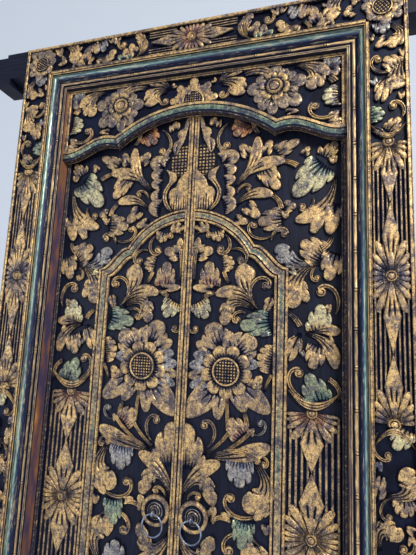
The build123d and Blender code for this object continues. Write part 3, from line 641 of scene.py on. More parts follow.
def lanceForm(x, z, width, length, ground, way, upright, tint):
    # the longest petal of a lozenge: it widens from the knob with two cuts, then narrows to a point
    half, foot, wide = lozengeTip
    far = lozengeSize["length"]
    b = np.concatenate([down(foot, wide, 16), down(wide + 4, far, 14)])
    v = over(-1, 1, 25)
    side = np.where(b < wide, upFrom(0.12, (b - foot) / (wide - foot)), (far - b) / (far - wide)) * half + 0.3
    rim = fall(v, 12)
    cut = grooves(3 * (v + 1), 2) * ease(116, 78, b) * (1 - v ** 8)
    height = relief * upFrom(0.62, rim) * upFrom(0.80, ease(foot, wide - 6, b)) - cutDepth["lance"] * cut
    giltAndPaintedShade = upFrom(0.3, rim) * (1 - cut) * upFrom(0.4, ease(foot, foot + 26, b))
    plan = placed(x, z, side * v * width / lozengeSize["width"], way * b * length / far, upright)
    return carved(plan, height, giltAndPaintedShade, blendPaint(tint, ease(0.3, 0.8, giltAndPaintedShade)), ground)


def knobForm(x, z, radius, ground, tint="gold"):
    # a turned knob: a rim ring, a dark ring and a dome
    s = down(0, 1, 15)
    dome = np.where(s < 0.56, 0.80 + 0.2 * np.cos(np.clip(s / 0.55, 0, 1) * pi / 2), 0.5)
    height = relief * 1.04 * np.maximum(dome, 0.97 * bell(s - 0.82, 0.16, 4))
    giltAndPaintedShade = 1 - 0.9 * bell(s - 0.60, 0.06)
    return carved(spun(x, z, radius * s, fullTurn(32)), height, giltAndPaintedShade, tint, ground, pole=True)


def wheelForms(x, z, width, length, ground, half=0, upright=True, tints=("flower", "gold")):
    # the whole lozenge, or its half below (-1) or above (1) its knob, whose other half is pressed flat
    turn = {0: fullTurn(200), 1: over(0, pi, 101), -1: over(pi, 2 * pi, 101)}[half]
    s = down(0, 1, 17) ** 1.15
    reach, q = petalReach(turn)
    r = reach * s
    slit = grooves(3 * q, 3) * ease(0.74, 0.42, s)
    cut = np.maximum(np.abs(q) ** 5, slit * 0.9) * ease(0.04, 0.14, s)
    rim = upFrom(0.6, fall(s, 8))
    height = relief * 0.96 * (0.55 + 0.45 * ease(0, 40, r) - 0.08 * s) * rim - cutDepth["wheel"] * cut
    a, b = spun(0, 0, r, turn)
    a, b = a * width / lozengeSize["width"], b * length / lozengeSize["length"]
    colour = blendPaint(tints[0], ease(8, 60, np.hypot(a, b)))
    # the gaps between petals, the slits and the rim lose their gilding: navy ground paint, and painted shade
    # in the gaps
    grids = *placed(x, z, a, b, upright), height, (1 - cut) * rim, colour
    px, pz, height, giltAndPaintedShade, colour = (grid[1:] for grid in grids) if half else grids
    forms = [carved((px, pz), height, giltAndPaintedShade, colour, ground, pole=not half)]
    ways = [way for way in (1, -1) if half != -way]
    forms += [lanceForm(x, z, width, length, ground, way, upright, tints[1]) for way in ways]
    knob = [knobForm(x, z, lozengeSize["knob"], ground, tints[1])]
    if half:
        level = z + flowerLine - half * 5.0
        trim(knob, 2, *((level, None) if half == 1 else (None, level)))
    return forms + knob


def whorlForm(x, z, inner, outer, petals, ground, phase=0.0, tint="gold", tall=0.9, slits=4):
    # a ring of round petals: each is dished, tilts a little under its neighbour, and is slit at its root
    s, turn = down(0, 1, 14), fullTurn(petals * 18)
    q = np.mod((turn - phase) * petals / (2 * pi), 1) * 2 - 1
    lobe = fall(q)
    r = inner + (outer - inner) * upFrom(0.46, lobe ** 0.8) * s
    comb = grooves(slits * q, 1.2 + 5 * s) * ease(0.56, 0.34, s)
    cut = np.maximum(comb, np.abs(q) ** 5 * ease(0.0, 0.2, s))
    rim = fall(s, 6)
    height = relief * tall * (0.58 + 0.26 * ease(0.2, 0.85, s) + 0.10 * lobe + 0.06 * q) * upFrom(0.45, rim)
    height = height - cutDepth["whorl"] * cut * rim
    # the petals' edges, slits and roots lose their gilding: navy ground paint, and painted shade that parts
    # each petal from the next
    giltAndPaintedShade = (1 - 0.95 * cut) * upFrom(0.6, rim) * upFrom(0.3, ease(0.1, 0.6, s))
    colour = blendPaint(tint, ease(0.15, 0.75, s) + 0 * turn)
    height, giltAndPaintedShade, colour = (np.concatenate([a[:1], a]) for a in (height, giltAndPaintedShade, colour))
    return carved(spun(x, z, np.concatenate([0 * turn, r]), turn), height, giltAndPaintedShade, colour, ground, pole=True)


def latticeForm(x, z, radius, ground, cell=8.2, tilt=0.0, rimWidth=0.16):
    # a domed heart cut into small squares, inside a rolled rim
    s, turn = down(0, 1, 34), fullTurn(120)
    a, b = spun(0, 0, radius * s, turn)
    c, d = math.cos(tilt), math.sin(tilt)
    block = squares(a * c + b * d, b * c - a * d, cell) * ease(1 - rimWidth, 1 - rimWidth - 0.08, s)
    roll = fall((s - 1 + rimWidth / 2) / (rimWidth / 2))
    dome = 0.88 + 0.14 * (1 - s * s)
    height = relief * np.where(roll > 0, 0.8 + 0.22 * roll, dome * (0.72 + 0.3 * block))
    return carved((x + a, z + b), height, np.clip(block * 1.2 + roll, 0, 1), "gold", ground, pole=True)


# Strips, boards and mouldings. A section's rows are across, depth, gilding and paint
def fineSection(rows):
    # puts two points close together halfway between drawn ones of different paint, so that bands stay crisp
    fine, step = [], 1.2
    for first, last in zip(rows, rows[1:]):
        fine.append(first)
        gap = math.dist(first[:2], last[:2])
        if first[2:] != last[2:] and gap > 2 * step:
            share = 0.5 - 0.5 * step / gap
            for t, row in ((share, first), (1 - share, last)):
                fine.append((*(a + (b - a) * t for a, b in zip(first[:2], last[:2])), *row[2:]))
    return fine + [rows[-1]]


def runForm(section, start, end, level=False, steps=2):
    # the section is carried up the door, or along it where the run is level: across is its x or its height
    run = down(start, end, steps)
    across, depth = (np.array([row[i] for row in section])[None, :] for i in (0, 1))
    x, z = (run, across) if level else (across, run)
    return form(onDoor(x, depth, z), *rowPaint(section), wrap=True)


def stripRows(low, high, front, back, name="gold", line=0.5):
    # a flat strip with eased edges and one dark line along it, a millimetre deep
    middle, cut = low + (high - low) * line, front + 1.0
    return fineSection([
        (low, back, 0.0, "navy"), (low, front + 1.5, 0.3, name), (low + 1.5, front, 0.95, name),
        (middle - 1.3, front, 0.95, name), (middle - 0.6, cut, 0.0, "navy"), (middle + 0.6, cut, 0.0, "navy"),
        (middle + 1.3, front, 0.95, name), (high - 1.5, front, 0.95, name), (high, front + 1.5, 0.3, name),
        (high, back, 0.0, "navy"),
    ])


def reedForm(x0, x1, z0, z1, count, ground, upright=True, tall=0.5):
    # a field of round reeds: height follows one arch of a sine over each reed
    across, along = down(0, 1, count * 8 + 1), over(0, 1, 3)
    wave = np.abs(np.sin(pi * count * across))
    s, t = (across, along) if upright else (along, across)
    plan = x0 + (x1 - x0) * s, z0 + (z1 - z0) * t
    return carved(plan, relief * tall * wave, 0.86 * ease(0.72, 0.95, wave), "sand", ground)


# The leaves
leafPlan = dict(inner=1.5, outer=455.0, front=74.0, back=112.0, bottom=-1585.0, top=637.0, fieldTop=512.0,
                fieldBottom=-1525.0, innerStrip=16.5, outerStrip=437.0, stripEnd=449.5, heel=19.0,
                heelDepth=93.0)


def leafBoard():
    # one board, round at its heel; its face is let in between two rails and two edge strips
    plan = leafPlan
    heel = zip(*spun(plan["outer"], plan["heelDepth"], plan["heel"], np.linspace(-pi / 2, pi / 2, 13)))
    face = [plan["inner"], plan["innerStrip"], plan["innerStrip"], plan["outerStrip"], plan["outerStrip"]]
    step = plan["front"] + 1.4
    rail, field = [step] * 5, [step] * 2 + [depths["leaf"]] * 2 + [step]
    levels = [plan[name] for name in ("bottom", "fieldBottom", "fieldBottom", "fieldTop", "fieldTop", "top")]
    rest = [*heel, (plan["inner"], plan["back"])]
    loops = [[*zip(face, front), *rest] for front in (rail, rail, field, field, rail, rail)]
    x, depth = np.moveaxis(np.array(loops), -1, 0)
    return [form(onDoor(x, depth, np.array(levels)[:, None]), 0.0, paints["navy"], wrap=True)]


def leafStrips():
    # a strip along each upright edge and one under the field
    plan = leafPlan
    rim, foot = plan["front"], plan["front"] + 2.0
    inner = stripRows(plan["inner"] + 0.2, plan["innerStrip"], rim, foot, "gold", 0.55)
    outer = stripRows(plan["outerStrip"], plan["stripEnd"], rim, foot, "brown", 0.35)
    low = stripRows(plan["fieldBottom"] - 10, plan["fieldBottom"] + 0.5, rim, foot)
    return [*(runForm(s, plan["bottom"] + 1, plan["top"] - 1) for s in (inner, outer)),
            runForm(low, plan["innerStrip"], plan["outerStrip"], True)]


def archParts(x, peak, radius, crest, foot):
    # height of the round middle, and of the wave that runs from its crest down to its foot
    middle = peak - radius + np.sqrt(np.maximum(radius * radius - x * x, 0))
    wave = (1 + np.cos(pi * (x - crest[0]) / (foot[0] - crest[0]))) / 2
    return middle, foot[1] + (crest[1] - foot[1]) * wave


def archCurve(x, peak, radius, crest, foot):
    # the higher of the two from a little before the wave's crest on
    middle, wave = archParts(x, peak, radius, crest, foot)
    return np.where(x > crest[0] - 40, np.maximum(middle, wave), middle)


def archCusp(peak, radius, crest, foot):
    # where the round middle and the wave cross
    x = np.linspace(crest[0] - 40, crest[0] + 10, 501)
    middle, wave = archParts(x, peak, radius, crest, foot)
    return x[np.argmin(np.abs(middle - wave))]


# Each curve of the arch: its peak, its radius, and the wave's crest and foot
leafArch = dict(outer=(215, 231, (203, 100), (297, 32)), inner=(178, 204, (183, 64), (258, 5)), start=16.0,
                height=12.0, cells=(34, 22, 50))
# Section of the leaf's arch from its outer edge in: share of the width, height, gilding and paint
archSection = banded(
    ("gold", (0.0, 0.6, 0.4), (0.04, 0.97, 1.0), (0.17, 1.0, 1.0)),
    ("navy", (0.21, 0.62, 0.0), (0.26, 0.62, 0.0)), ("sand", (0.29, 0.86, 1.0), (0.35, 0.8, 0.85)),
    ("verdigris", (0.46, 0.68, 0.75), (0.58, 0.7, 0.75)), ("sand", (0.66, 0.8, 0.85), (0.7, 0.86, 1.0)),
    ("navy", (0.73, 0.62, 0.0), (0.79, 0.62, 0.0)),
    ("gold", (0.83, 1.0, 1.0), (0.96, 0.97, 1.0), (1.0, 0.6, 0.4)),
)


def archForm(ground):
    # the same three stretches on every curve between the outer and the inner one: round, wave, upright
    (first, second, third), pairs = leafArch["cells"], [*zip(leafArch["outer"], leafArch["inner"])]
    xs, zs = [], []
    for share, _, _, _ in archSection:
        peak, radius, crest, end = (np.array(o) + (np.array(n) - np.array(o)) * share for o, n in pairs)
        cusp = archCusp(peak, radius, crest, end)
        x = np.array([*np.linspace(leafArch["start"], cusp, first), *np.linspace(cusp, end[0], second)[1:]])
        post = np.linspace(end[1], mirrorLine, third)[1:]
        xs.append(np.concatenate([x, end[0] + 0 * post]))
        zs.append(np.concatenate([archCurve(x, peak, radius, crest, end), post]))
    x, z = np.array(xs).T, np.array(zs).T
    giltAndPaintedShade, colour = rowPaint(archSection)
    middle = np.array([row[3] == "verdigris" for row in archSection])
    drift = np.clip(0.45 + 0.4 * np.sin(z / 61 + x / 47) + 0.25 * np.sin(z / 23 + 1), 0, 1) * middle
    colour = colour + (paints["sand"] - colour) * drift[..., None]
    height = np.array([row[1] for row in archSection]) * leafArch["height"]
    return carved((x, z), height, giltAndPaintedShade, colour, ground)


topLeaves = dict(
    comb=[(168, 484, 128, 440, 72, 0, "orange"), (222, 330, 266, 262, 60), (394, 350, 426, 394, 46),
          (280, 174, 206, 168, 76, 0, "sand"), (386, 62, 330, 108, 80)],
    full=[(256, 374, 324, 410, 50, 0, "sand"), (392, 332, 306, 238, 100, 0, "teal"), (424, 74, 400, -4, 74)],
    small=[(178, 372, 148, 412, 42), (222, 372, 242, 418, 36), (334, 360, 350, 386, 26),
           (168, 224, 212, 180, 46), (280, 208, 316, 212, 42), (396, 196, 358, 134, 46),
           (424, 214, 404, 124, 52), (136, 180, 180, 166, 34), (40, 176, 60, 152, 26)],
    bud=[(64, 482, 60, 510, 28), (76, 474, 84, 500, 15), (414, 352, 418, 328, 24), (380, 362, 378, 386, 14),
         (284, 200, 288, 174, 22), (360, 148, 372, 130, 24), (300, 28, 322, 12, 16, 0, "pale")],
    tongue=[(136, 282, 200, 432, 36, -22), (138, 284, 284, 348, 40, 24), (142, 222, 250, 246, 34, 20),
            (420, 292, 312, 168, 44, 34)],
    plume=[(368, 44, 270, 102, 52, 26, "grey")],
    stem=[(272, 348, 318, 330, 16, 4), (206, 440, 186, 486, 14, 6), (240, 250, 274, 204, 16, 8),
          (382, 44, 302, 28, 12, -8, "grey"), (412, 118, 386, 84, 18, 4)],
)
topScrolls = [
    (106, 412, 72, 88, 170, 13), (332, 208, 40, 42, -170, 11), (196, 158, 62, -32, -210, 11),
    (284, 130, 40, 205, -190, 11), (178, 270, 36, 200, -170, 9),
]
topBoss = (180, 16, 24)
sideLeaves = dict(
    comb=[(378, -176, 360, -240, 60)],
    full=[(378, -144, 384, -66, 76, 0, "pale"), (382, -326, 350, -250, 80, 0, "green")],
    small=[(322, -8, 350, -62, 40)],
    bud=[(400, -154, 416, -174, 20), (396, -88, 408, -66, 20)],
    spray=[(330, -146, 296, -220, 44)],
    tongue=[(362, -144, 434, -140, 30, 6), (346, -146, 420, -236, 38, 24)],
    plume=[(370, 46, 314, -80, 54, -28)],
    stem=[(296, -92, 330, -128, 16, 4), (430, -318, 404, -262, 14, -12)],
)
sideScrolls = [
    (384, -34, 70, -58, 190, 14), (328, -252, 70, -72, -210, 13), (374, 4, 30, 96, 190, 9),
    (336, -198, 34, 60, -150, 8, "grey"),
]
innerLeaves = dict(
    comb=[(84, 148, 94, 112, 46), (106, 44, 144, 50, 54), (72, -26, 66, 54, 68, 0, "rose"),
          (250, -120, 164, -134, 76, 0, "green"), (256, -222, 214, -214, 84),
          (180, -430, 142, -386, 64, 0, "rose"), (192, -640, 186, -712, 64, 0, "green")],
    full=[(22, -534, 22, -410, 124)],
    small=[(24, 74, 78, 88, 54), (84, -32, 17, -24, 30), (250, -596, 218, -634, 34),
           (92, -658, 112, -618, 38, 0, "sand"), (248, -638, 250, -666, 26, 0, "sand"),
           (204, -304, 228, -266, 38), (22, 172, 46, 142, 32), (198, -424, 212, -406, 22, 0, "sand"),
           (160, -642, 128, -630, 22)],
    bud=[(52, 158, 60, 146, 14), (218, -484, 230, -494, 18)],
    oval=[(26, 88, 30, 128, 26)],
    spray=[(252, -44, 236, -90, 28)],
    tongue=[(92, -496, 256, -446, 46, -8)],
    stem=[(104, -656, 152, -644, 14, 8), (78, -486, 142, -424, 10, -5), (100, -490, 206, -412, 11, -8),
          (96, -494, 230, -486, 14, 20), (132, -316, 140, -420, 11, 0, "sand"), (238, -306, 256, -262, 9, 2),
          (182, -366, 192, -404, 14, 2), (130, -12, 112, 22, 12, 2), (90, -34, 56, -52, 12, 2),
          (20, -6, 24, 92, 15, 3, "sand")],
)
innerScrolls = [
    (100, 90, 44, 75, -235, 12), (160, 56, 42, 130, -250, 11, "sand"), (33, -146, 38, 115, 215, 9),
    (156, -116, 30, 40, 230, 10), (228, -392, 34, -116, 206, 9, "grey"), (62, -604, 30, 196, -176, 9),
    (240, -494, 20, 120, -230, 8), (60, 132, 34, 170, -110, 9),
]
# These also come back upside down in the lower half
repeatedLeaves = dict(
    comb=[(36, -64, 66, -116, 64, 0, "pale"), (176, -490, 176, -562, 80, 0, "blue")],
    tongue=[(200, -56, 176, 46, 52, 16), (210, -78, 88, -46, 38, -24), (10, -606, 122, -506, 42, 16)],
    plume=[(204, -86, 120, -134, 44, -46, "sand"), (14, -608, 106, -618, 46, 58, "sand"),
           (222, -496, 184, -602, 66, 46)],
)
repeatedScrolls = [
    (234, -18, 68, -108, -300, 12), (72, -412, 58, -78, 200, 12, "sand"), (154, -590, 84, -18, -205, 13),
]
flowerLeaves = dict(
    oval=[(140, -200, 130, -146, 46), (184, -236, 220, -238, 36, 0, "blue"), (172, -298, 254, -364, 66),
          (158, -316, 186, -368, 44), (94, -310, 12, -394, 78), (112, -326, 108, -396, 42),
          (78, -290, 20, -310, 36, 0, "blue"), (76, -270, 14, -282, 38), (76, -248, 16, -250, 40, 0, "blue"),
          (82, -228, 28, -218, 40, 0, "blue"), (92, -212, 36, -184, 44)],
    sepal=[(106, -196, 76, -126, 92), (158, -206, 206, -160, 92)],
)
flowerPlan = dict(centre=(128, -262), heart=40, whorl=74, petals=9)
# The great bud: rows of (z, outer x) for its petal and of (z, inner x, outer x) for its flank and its feather
budPlan = dict(
    edge=16.5, lattice=(322, 428, 58), cell=10.6, hatch=8.0,
    petal=((211, 57), (224, 66), (238, 72), (254, 75), (268, 75), (278, 71), (284, 63), (287, 53), (296, 50),
           (310, 45), (320, 37), (330, 26), (340, 17)),
    flank=((209, 57, 64), (216, 62, 74), (226, 69, 84), (238, 76, 91), (252, 80, 95), (264, 81, 96),
           (276, 78, 94), (288, 71, 88), (300, 61, 81), (309, 52, 76), (317, 50, 75), (326, 52, 76),
           (334, 57, 79), (339, 66, 82), (346, 84, 86)),
    feather=((392, 54, 60), (404, 48, 68), (420, 40, 72), (434, 34, 68), (441, 31, 58), (445, 30, 50),
             (458, 27, 57), (470, 24, 55), (477, 22, 46), (481, 21, 34), (494, 19, 33), (508, 17, 28),
             (524, 16.5, 19)),
    scallops=((98, 366, 146, 382, 58), (100, 330, 140, 336, 42), (102, 298, 138, 306, 36),
              (104, 264, 138, 262, 42), (100, 222, 142, 232, 58), (78, 396, 98, 404, 34),
              (84, 372, 106, 384, 34)),
)


def bandForm(rows, ground, tint, pitch=0.0, fade=(262, 240), tall=0.95):
    # a flat petal from rows of (z, inner x, outer x) joined by straight lines; hatching dies out upwards
    levels, inner, outer = np.array(rows, dtype=float).T
    z, v = down(levels[0], levels[-1], 56), over(0, 1, 37)
    near, far = np.interp(z, levels, inner), np.interp(z, levels, outer)
    x = near + (far - near) * v
    lines, wander = (x / pitch, 14 * np.cos(x / 5)) if pitch else (2.0 * v, 0)
    cut = grooves(2 * lines, 3) * ease(*fade, z + wander)
    rim = fall(v if pitch else 2 * v - 1, 10)
    height = relief * tall * (1 - 0.1 * v) * upFrom(0.66, rim) - cutDepth["band"] * cut
    giltAndPaintedShade = (1 - cut) * upFrom(0.4, rim) * upFrom(0.35, ease(levels[0] - 4, levels[0] + 26, z))
    return carved((x, z), height, giltAndPaintedShade, tint, ground)


def budForms(ground):
    # half of the great bud on the meeting edge: a latticed half oval over a hatched petal with a wavy side,
    # a flank petal that bows out and back, a feather over the lattice and hatched scallops behind
    plan = budPlan
    edge, (low, high, reach) = plan["edge"], plan["lattice"]
    s, v = down(0, 1, 44), over(0, 1, 40)
    x, z = edge + reach * fall(2 * s - 0.9) * v * (1 - 0.12 * s), low + (high - low) * s
    block = squares(x - edge + 3, z - low + 0 * v, plan["cell"], 2.2, 0.7)
    petal = [(level, edge, side) for level, side in plan["petal"]]
    return [*leafForms(dict(scallop=plan["scallops"]), ground, 0.86, "flower"),
            carved((x, z), relief * (0.50 + 0.40 * block), block, "gold", ground),
            bandForm(petal, ground, "gold", plan["hatch"]),
            bandForm(plan["flank"], ground, "gold", fade=(316, 292)),
            bandForm(plan["feather"], ground, "flower", fade=(450, 410), tall=0.98)]


columnPlan = dict(centre=(362, -658), width=66.0, length=158.0, halfWidth=62.0, reach=306.0, reeds=(300, 436),
                  crescent=(64, 46, 18))


def columnForms(ground):
    # a petal lozenge between two half wheels that hang from crescents, over upright reeds
    plan = columnPlan
    (x, z), reach, (half, rise, thick) = plan["centre"], plan["reach"], plan["crescent"]
    forms = wheelForms(x, z, plan["width"], plan["length"], ground, tints=("gold", "gold"))
    for way in (1, -1):
        end = z + way * reach
        forms.append(crescentForm(x + 4, end + way * 7, half, way * rise, thick, ground))
        forms += wheelForms(x, end, plan["halfWidth"], reach - plan["length"] - 2, ground, half=-way,
                            tints=("rose", "gold"))
    return forms + [reedForm(*plan["reeds"], z - reach + 6, z + reach - 6, 9, ground, tall=0.42)]


def leafCarving():
    # the carving of the right leaf, piece by piece, kept between the leaf's edge strips
    ground, flower = depths["leaf"], flowerPlan
    x, z = flower["centre"]
    repeated = leafForms(repeatedLeaves, ground) + scrolls(repeatedScrolls, ground)
    bloom = leafForms(flowerLeaves, ground, 0.66, "flower")
    bloom += [whorlForm(x, z, flower["heart"] * 0.9, flower["whorl"], flower["petals"], ground, 0.2, "root"),
              latticeForm(x, z, flower["heart"], ground)]
    arch = [archForm(ground)]
    mirrorZ = mirrorLine + flowerLine
    pieces = dict(
        top=leafForms(topLeaves, ground) + scrolls(topScrolls, ground) + budForms(ground)
        + [ballForm(*topBoss, ground, "sand")],
        side=leafForms(sideLeaves, ground) + scrolls(sideScrolls, ground),
        inner=leafForms(innerLeaves, ground) + scrolls(innerScrolls, ground) + repeated,
        flower=bloom, column=columnForms(ground), lower=flipped(repeated + bloom, 2, mirrorZ),
        arch=arch + flipped(arch, 2, mirrorZ),
    )
    for forms in pieces.values():
        trim(forms, 0, leafPlan["innerStrip"] - 0.4, leafPlan["outerStrip"] + 0.4)
    return pieces


print("carving the leaves")
leafPieces = leafCarving()
for side in ("left", "right"):
    node, body = side + "_leaf", side + "_door"
    makePiece(side + "LeafBoard", onSide(side, leafBoard()), timberOf["darkTimber", 2], body, node,
              30)
    makePiece(side + "LeafStrips", onSide(side, leafStrips()), gilded, body, node)
    for part, forms in leafPieces.items():
        makePiece(side + "Leaf" + part.capitalize(), onSide(side, forms), gilded, body, node)


# The header: one section of (height from the arch, depth) carried across the doorway
headerPlan = dict(edge=456.0, top=647.0, rail=631.0, strip=437.0, front=44.0, back=71.0,
                  arch=(548, 434, (295, 468), (437, 425)), drop=33.0,
                  stations=((0, 252, 85), (253, 272, 39), (275, 456, 62)))
# Share of the arch's height below its upper line, depth, gilding and paint
headerSection = banded(
    ("navy", (0.0, 56.0, 0.0), (0.0, 50.0, 0.0)),
    ("gold", (0.0, 45.4, 0.6), (0.04, 44.2, 1.0), (0.26, 44.0, 1.0)),
    # the pale green band at the top of the cove is a painted highlight over the verdigris and teal below it
    ("navy", (0.28, 46.5, 0.0), (0.35, 46.5, 0.0)), ("green", (0.37, 44.8, 0.9), (0.44, 46.2, 0.9)),
    ("verdigris", (0.54, 48.2, 0.8), (0.66, 48.6, 0.7)), ("teal", (0.72, 48.6, 0.6)),
    ("navy", (0.78, 48.4, 0.0), (0.92, 49.0, 0.0)),
    ("violet", (0.93, 47.6, 0.6), (1.0, 48.0, 0.6), (1.0, 52.0, 0.55)), ("brown", (1.0, 56.0, 0.7)),
    ("violet", (1.0, 62.0, 0.55), (1.0, 66.0, 0.2)), ("gold", (1.0, 68.2, 1.0), (1.0, 70.4, 1.0)),
    ("navy", (1.0, 71.0, 0.0)),
)


def headerForms():
    # every station of x has its own loop: back, top, ground, then down over the arch and under it
    plan, ground = headerPlan, depths["header"]
    edge, top, front = plan["edge"], plan["top"], plan["front"]
    peak, radius, crest, foot = plan["arch"]
    stations = np.concatenate([np.linspace(*span) for span in plan["stations"]])
    x = np.concatenate([-stations[:0:-1], stations])
    reach = np.abs(x)
    loops = [(top + 0 * x, plan["back"], 0.0, "navy"), (top + 0 * x, ground, 0.0, "navy")]
    for share, depth, giltAndPaintedShade, name in headerSection:
        drop = share * plan["drop"]
        low = archCurve(reach, peak - drop, radius - drop, *((a, b - drop) for a, b in (crest, foot)))
        loops.append((np.where(reach > foot[0], foot[1] - drop, low), depth, giltAndPaintedShade, name))
    points = onDoor(x[:, None], np.array([row[1] for row in loops]), np.array([row[0] for row in loops]).T)
    rail = stripRows(plan["rail"], top - 1, front, ground + 1, line=0.3)
    forms = [form(points, *rowPaint(loops), wrap=True), runForm(rail, -edge + 1, edge - 1, True)]
    for side in (-1, 1):
        strip = stripRows(*sorted((side * plan["strip"], side * (edge - 1))), front, ground + 1)
        forms.append(runForm(strip, foot[1] - 6, plan["rail"] + 1))
    return forms


headerLeaves = dict(
    comb=[(402, 608, 432, 636, 52, 0, "grey"), (430, 518, 384, 514, 66, 0, "pale")],
    small=[(372, 588, 384, 548, 40), (406, 450, 430, 468, 26, 0, "sand"), (284, 480, 322, 480, 20, 3)],
    bud=[(412, 600, 430, 578, 30, 0, "sand"), (426, 494, 424, 486, 26, 0, "pale"), (60, 618, 72, 608, 18),
         (392, 604, 400, 628, 22, 0, "grey")],
    oval=[(132, 596, 166, 602, 30)],
    spray=[(394, 438, 440, 436, 44, 0, "sand")],
    tongue=[(82, 604, 158, 638, 40, 16), (308, 622, 406, 580, 32, 16)],
    plume=[(88, 602, 140, 552, 60, 24), (326, 620, 346, 546, 46, 28)],
    stem=[(160, 622, 234, 612, 28, 10, "sand"), (212, 616, 234, 598, 14, 2, "sand"),
          (402, 578, 420, 558, 22, 2)],
)
headerScrolls = [(366, 492, 72, -15, -210, 13), (92, 566, 26, 40, -200, 10)]
headerFlower = dict(centre=(250, 570), heart=24.0, whorl=46.0)
flowerFans = [
    (226, 566, 168, 566, 62), (226, 596, 194, 594, 36), (226, 548, 190, 530, 44), (236, 536, 208, 500, 56),
    (250, 532, 244, 478, 44), (262, 540, 286, 496, 46), (276, 550, 326, 504, 60), (284, 572, 342, 584, 62),
    (280, 592, 312, 604, 36), (250, 598, 254, 638, 62), (268, 596, 290, 618, 34),
]
# Rows of petals of the half flower: how many, where they start and end, their width and height
centrePlan = dict(level=552, first=8, rows=((5, 40, 80, 44, 0.74), (5, 30, 58, 36, 0.92)), heart=37)


def centreFlower(ground):
    # half a flower that rises from behind the arch: a latticed dome and two rows of petals
    plan, forms = centrePlan, []
    level, first = plan["level"], plan["first"]
    for count, near, far, size, tall in plan["rows"]:
        petals = []
        for i in range(count):
            angle = math.radians(first + (180 - 2 * first) * i / (count - 1))
            c, s = math.cos(angle), math.sin(angle)
            tip = far * (1.06 if i == count // 2 else 1.0)
            petals.append((near * c, level + near * s * 0.7, tip * c, level + tip * s, size))
        forms += leafForms(dict(small=petals), ground, tall)
    forms.append(latticeForm(0, level + 2, plan["heart"], ground, 7.4, rimWidth=0.2))
    return trim(forms, 2, flowerLine + headerPlan["arch"][0] - 1)


def headerCarving():
    # leaves, scrolls and a flower on each side, and the half flower in the middle
    ground, heart = depths["header"], headerFlower["heart"]
    x, z = headerFlower["centre"]
    forms = leafForms(headerLeaves, ground) + scrolls(headerScrolls, ground)
    forms += leafForms(dict(sepal=flowerFans), ground, 0.7, "shaded")
    forms += [whorlForm(x, z, heart * 0.9, headerFlower["whorl"], 6, ground, 0.3, "root", 0.94, 3),
              knobForm(x, z, heart, ground)]
    return forms + flipped(forms, 0) + centreFlower(ground)


print("carving the header")
makePiece("headerBoard", headerForms(), gilded, "frame", "header_panel", sharp=30)
makePiece("headerCarving", headerCarving(), gilded, "frame", "header_panel")


# The border boards
borderPlan = dict(half=600.0, edge=496.0, top=791.0, low=687.0, foot=-1381.0, sill=-1589.0, outer=10.0,
                  inner=8.0, back=34.0)


def headBoardForms():
    # a flat board with a strip along each edge and a short one at each end
    plan, ground = borderPlan, depths["border"]
    half, edge, top, low, back, outer = (plan[name] for name in "half edge top low back outer".split())
    board = [(z, depth, 0.0, "navy") for z, depth in ((low, back), (low, ground), (top, ground), (top, back))]
    upper = stripRows(top - outer, top, 0, ground + 1, line=0.16)
    lower = stripRows(low, low + plan["inner"], 0, ground + 1, line=0.8)
    forms = [runForm(board, -half, half, True), runForm(upper, -half, half, True, 3),
             runForm(lower, -edge, edge, True, 3)]
    for side in (-1, 1):
        strip = stripRows(*sorted((side * (half - outer), side * half)), 0.05, ground + 1)
        forms.append(runForm(strip, low, top - 1))
    return forms


def slab(x0, x1, z0, z1, front, back, edge=1.0):
    # a board with its front edges taken off
    rows = [(x0, back), (x0, front + edge), (x0 + edge, front)]
    rows += [(x0 + x1 - x, depth) for x, depth in rows[::-1]]
    return runForm([(*row, 0.0, "navy") for row in rows], z0, z1)


def jambBoardForms():
    # the carved board with its two edge strips, over a plain thicker foot
    plan, ground = borderPlan, depths["border"]
    half, edge, low, foot, back = (plan[name] for name in "half edge low foot back".split())
    strips = [stripRows(*ends, 0, ground + 1, line=0.8)
              for ends in ((half - plan["outer"], half), (edge, edge + plan["inner"]))]
    return [slab(edge, half, foot, low, ground, back), slab(edge, half, plan["sill"], foot, 0.0, back, 2.0),
            *(runForm(strip, foot + 0.5, low, steps=3) for strip in strips)]


jambLeaves = dict(
    comb=[(534, 688, 540, 648, 49, 0, "grey"), (574, 546, 540, 580, 52), (504, 420, 542, 424, 47, 0, "green"),
          (548, 374, 576, 408, 40), (574, -352, 546, -402, 54, 0, "pale"), (564, -506, 562, -544, 52),
          (560, -684, 556, -634, 49, 0, "grey")],
    small=[(552, 634, 520, 612, 32), (506, 650, 514, 632, 20, 0, "sand"), (584, -506, 582, -480, 22),
           (512, -676, 530, -640, 31)],
    bud=[(510, 524, 520, 504, 20, 0, "grey"), (580, 478, 580, 456, 16), (584, 600, 588, 572, 16),
         (584, -572, 566, -562, 20), (578, -600, 576, -576, 18), (508, -452, 516, -430, 20, 0, "blue"),
         (538, -560, 526, -580, 18, 0, "sand")],
    spray=[(548, 526, 528, 456, 47), (506, -522, 518, -462, 31, 0, "sand")],
    plume=[(550, 678, 548, 612, 40, 34), (582, 566, 570, 486, 52, -6), (528, -506, 562, -438, 50, -34),
           (510, -622, 560, -588, 45, 34)],
    stem=[(508, 382, 530, 366, 22, 4, "dusk")],
)
jambScrolls = [
    (526, 576, 48, -52, -225, 10), (560, 440, 40, -66, 215, 10), (532, -416, 54, 112, 200, 9),
    (532, -548, 42, 84, 190, 8), (560, -608, 34, 60, -210, 9),
]
jambPlan = dict(middle=547.0, sections=((345, -347), (-689, -1381)), reeds=(505, 589), crescent=(41, 38, 12))


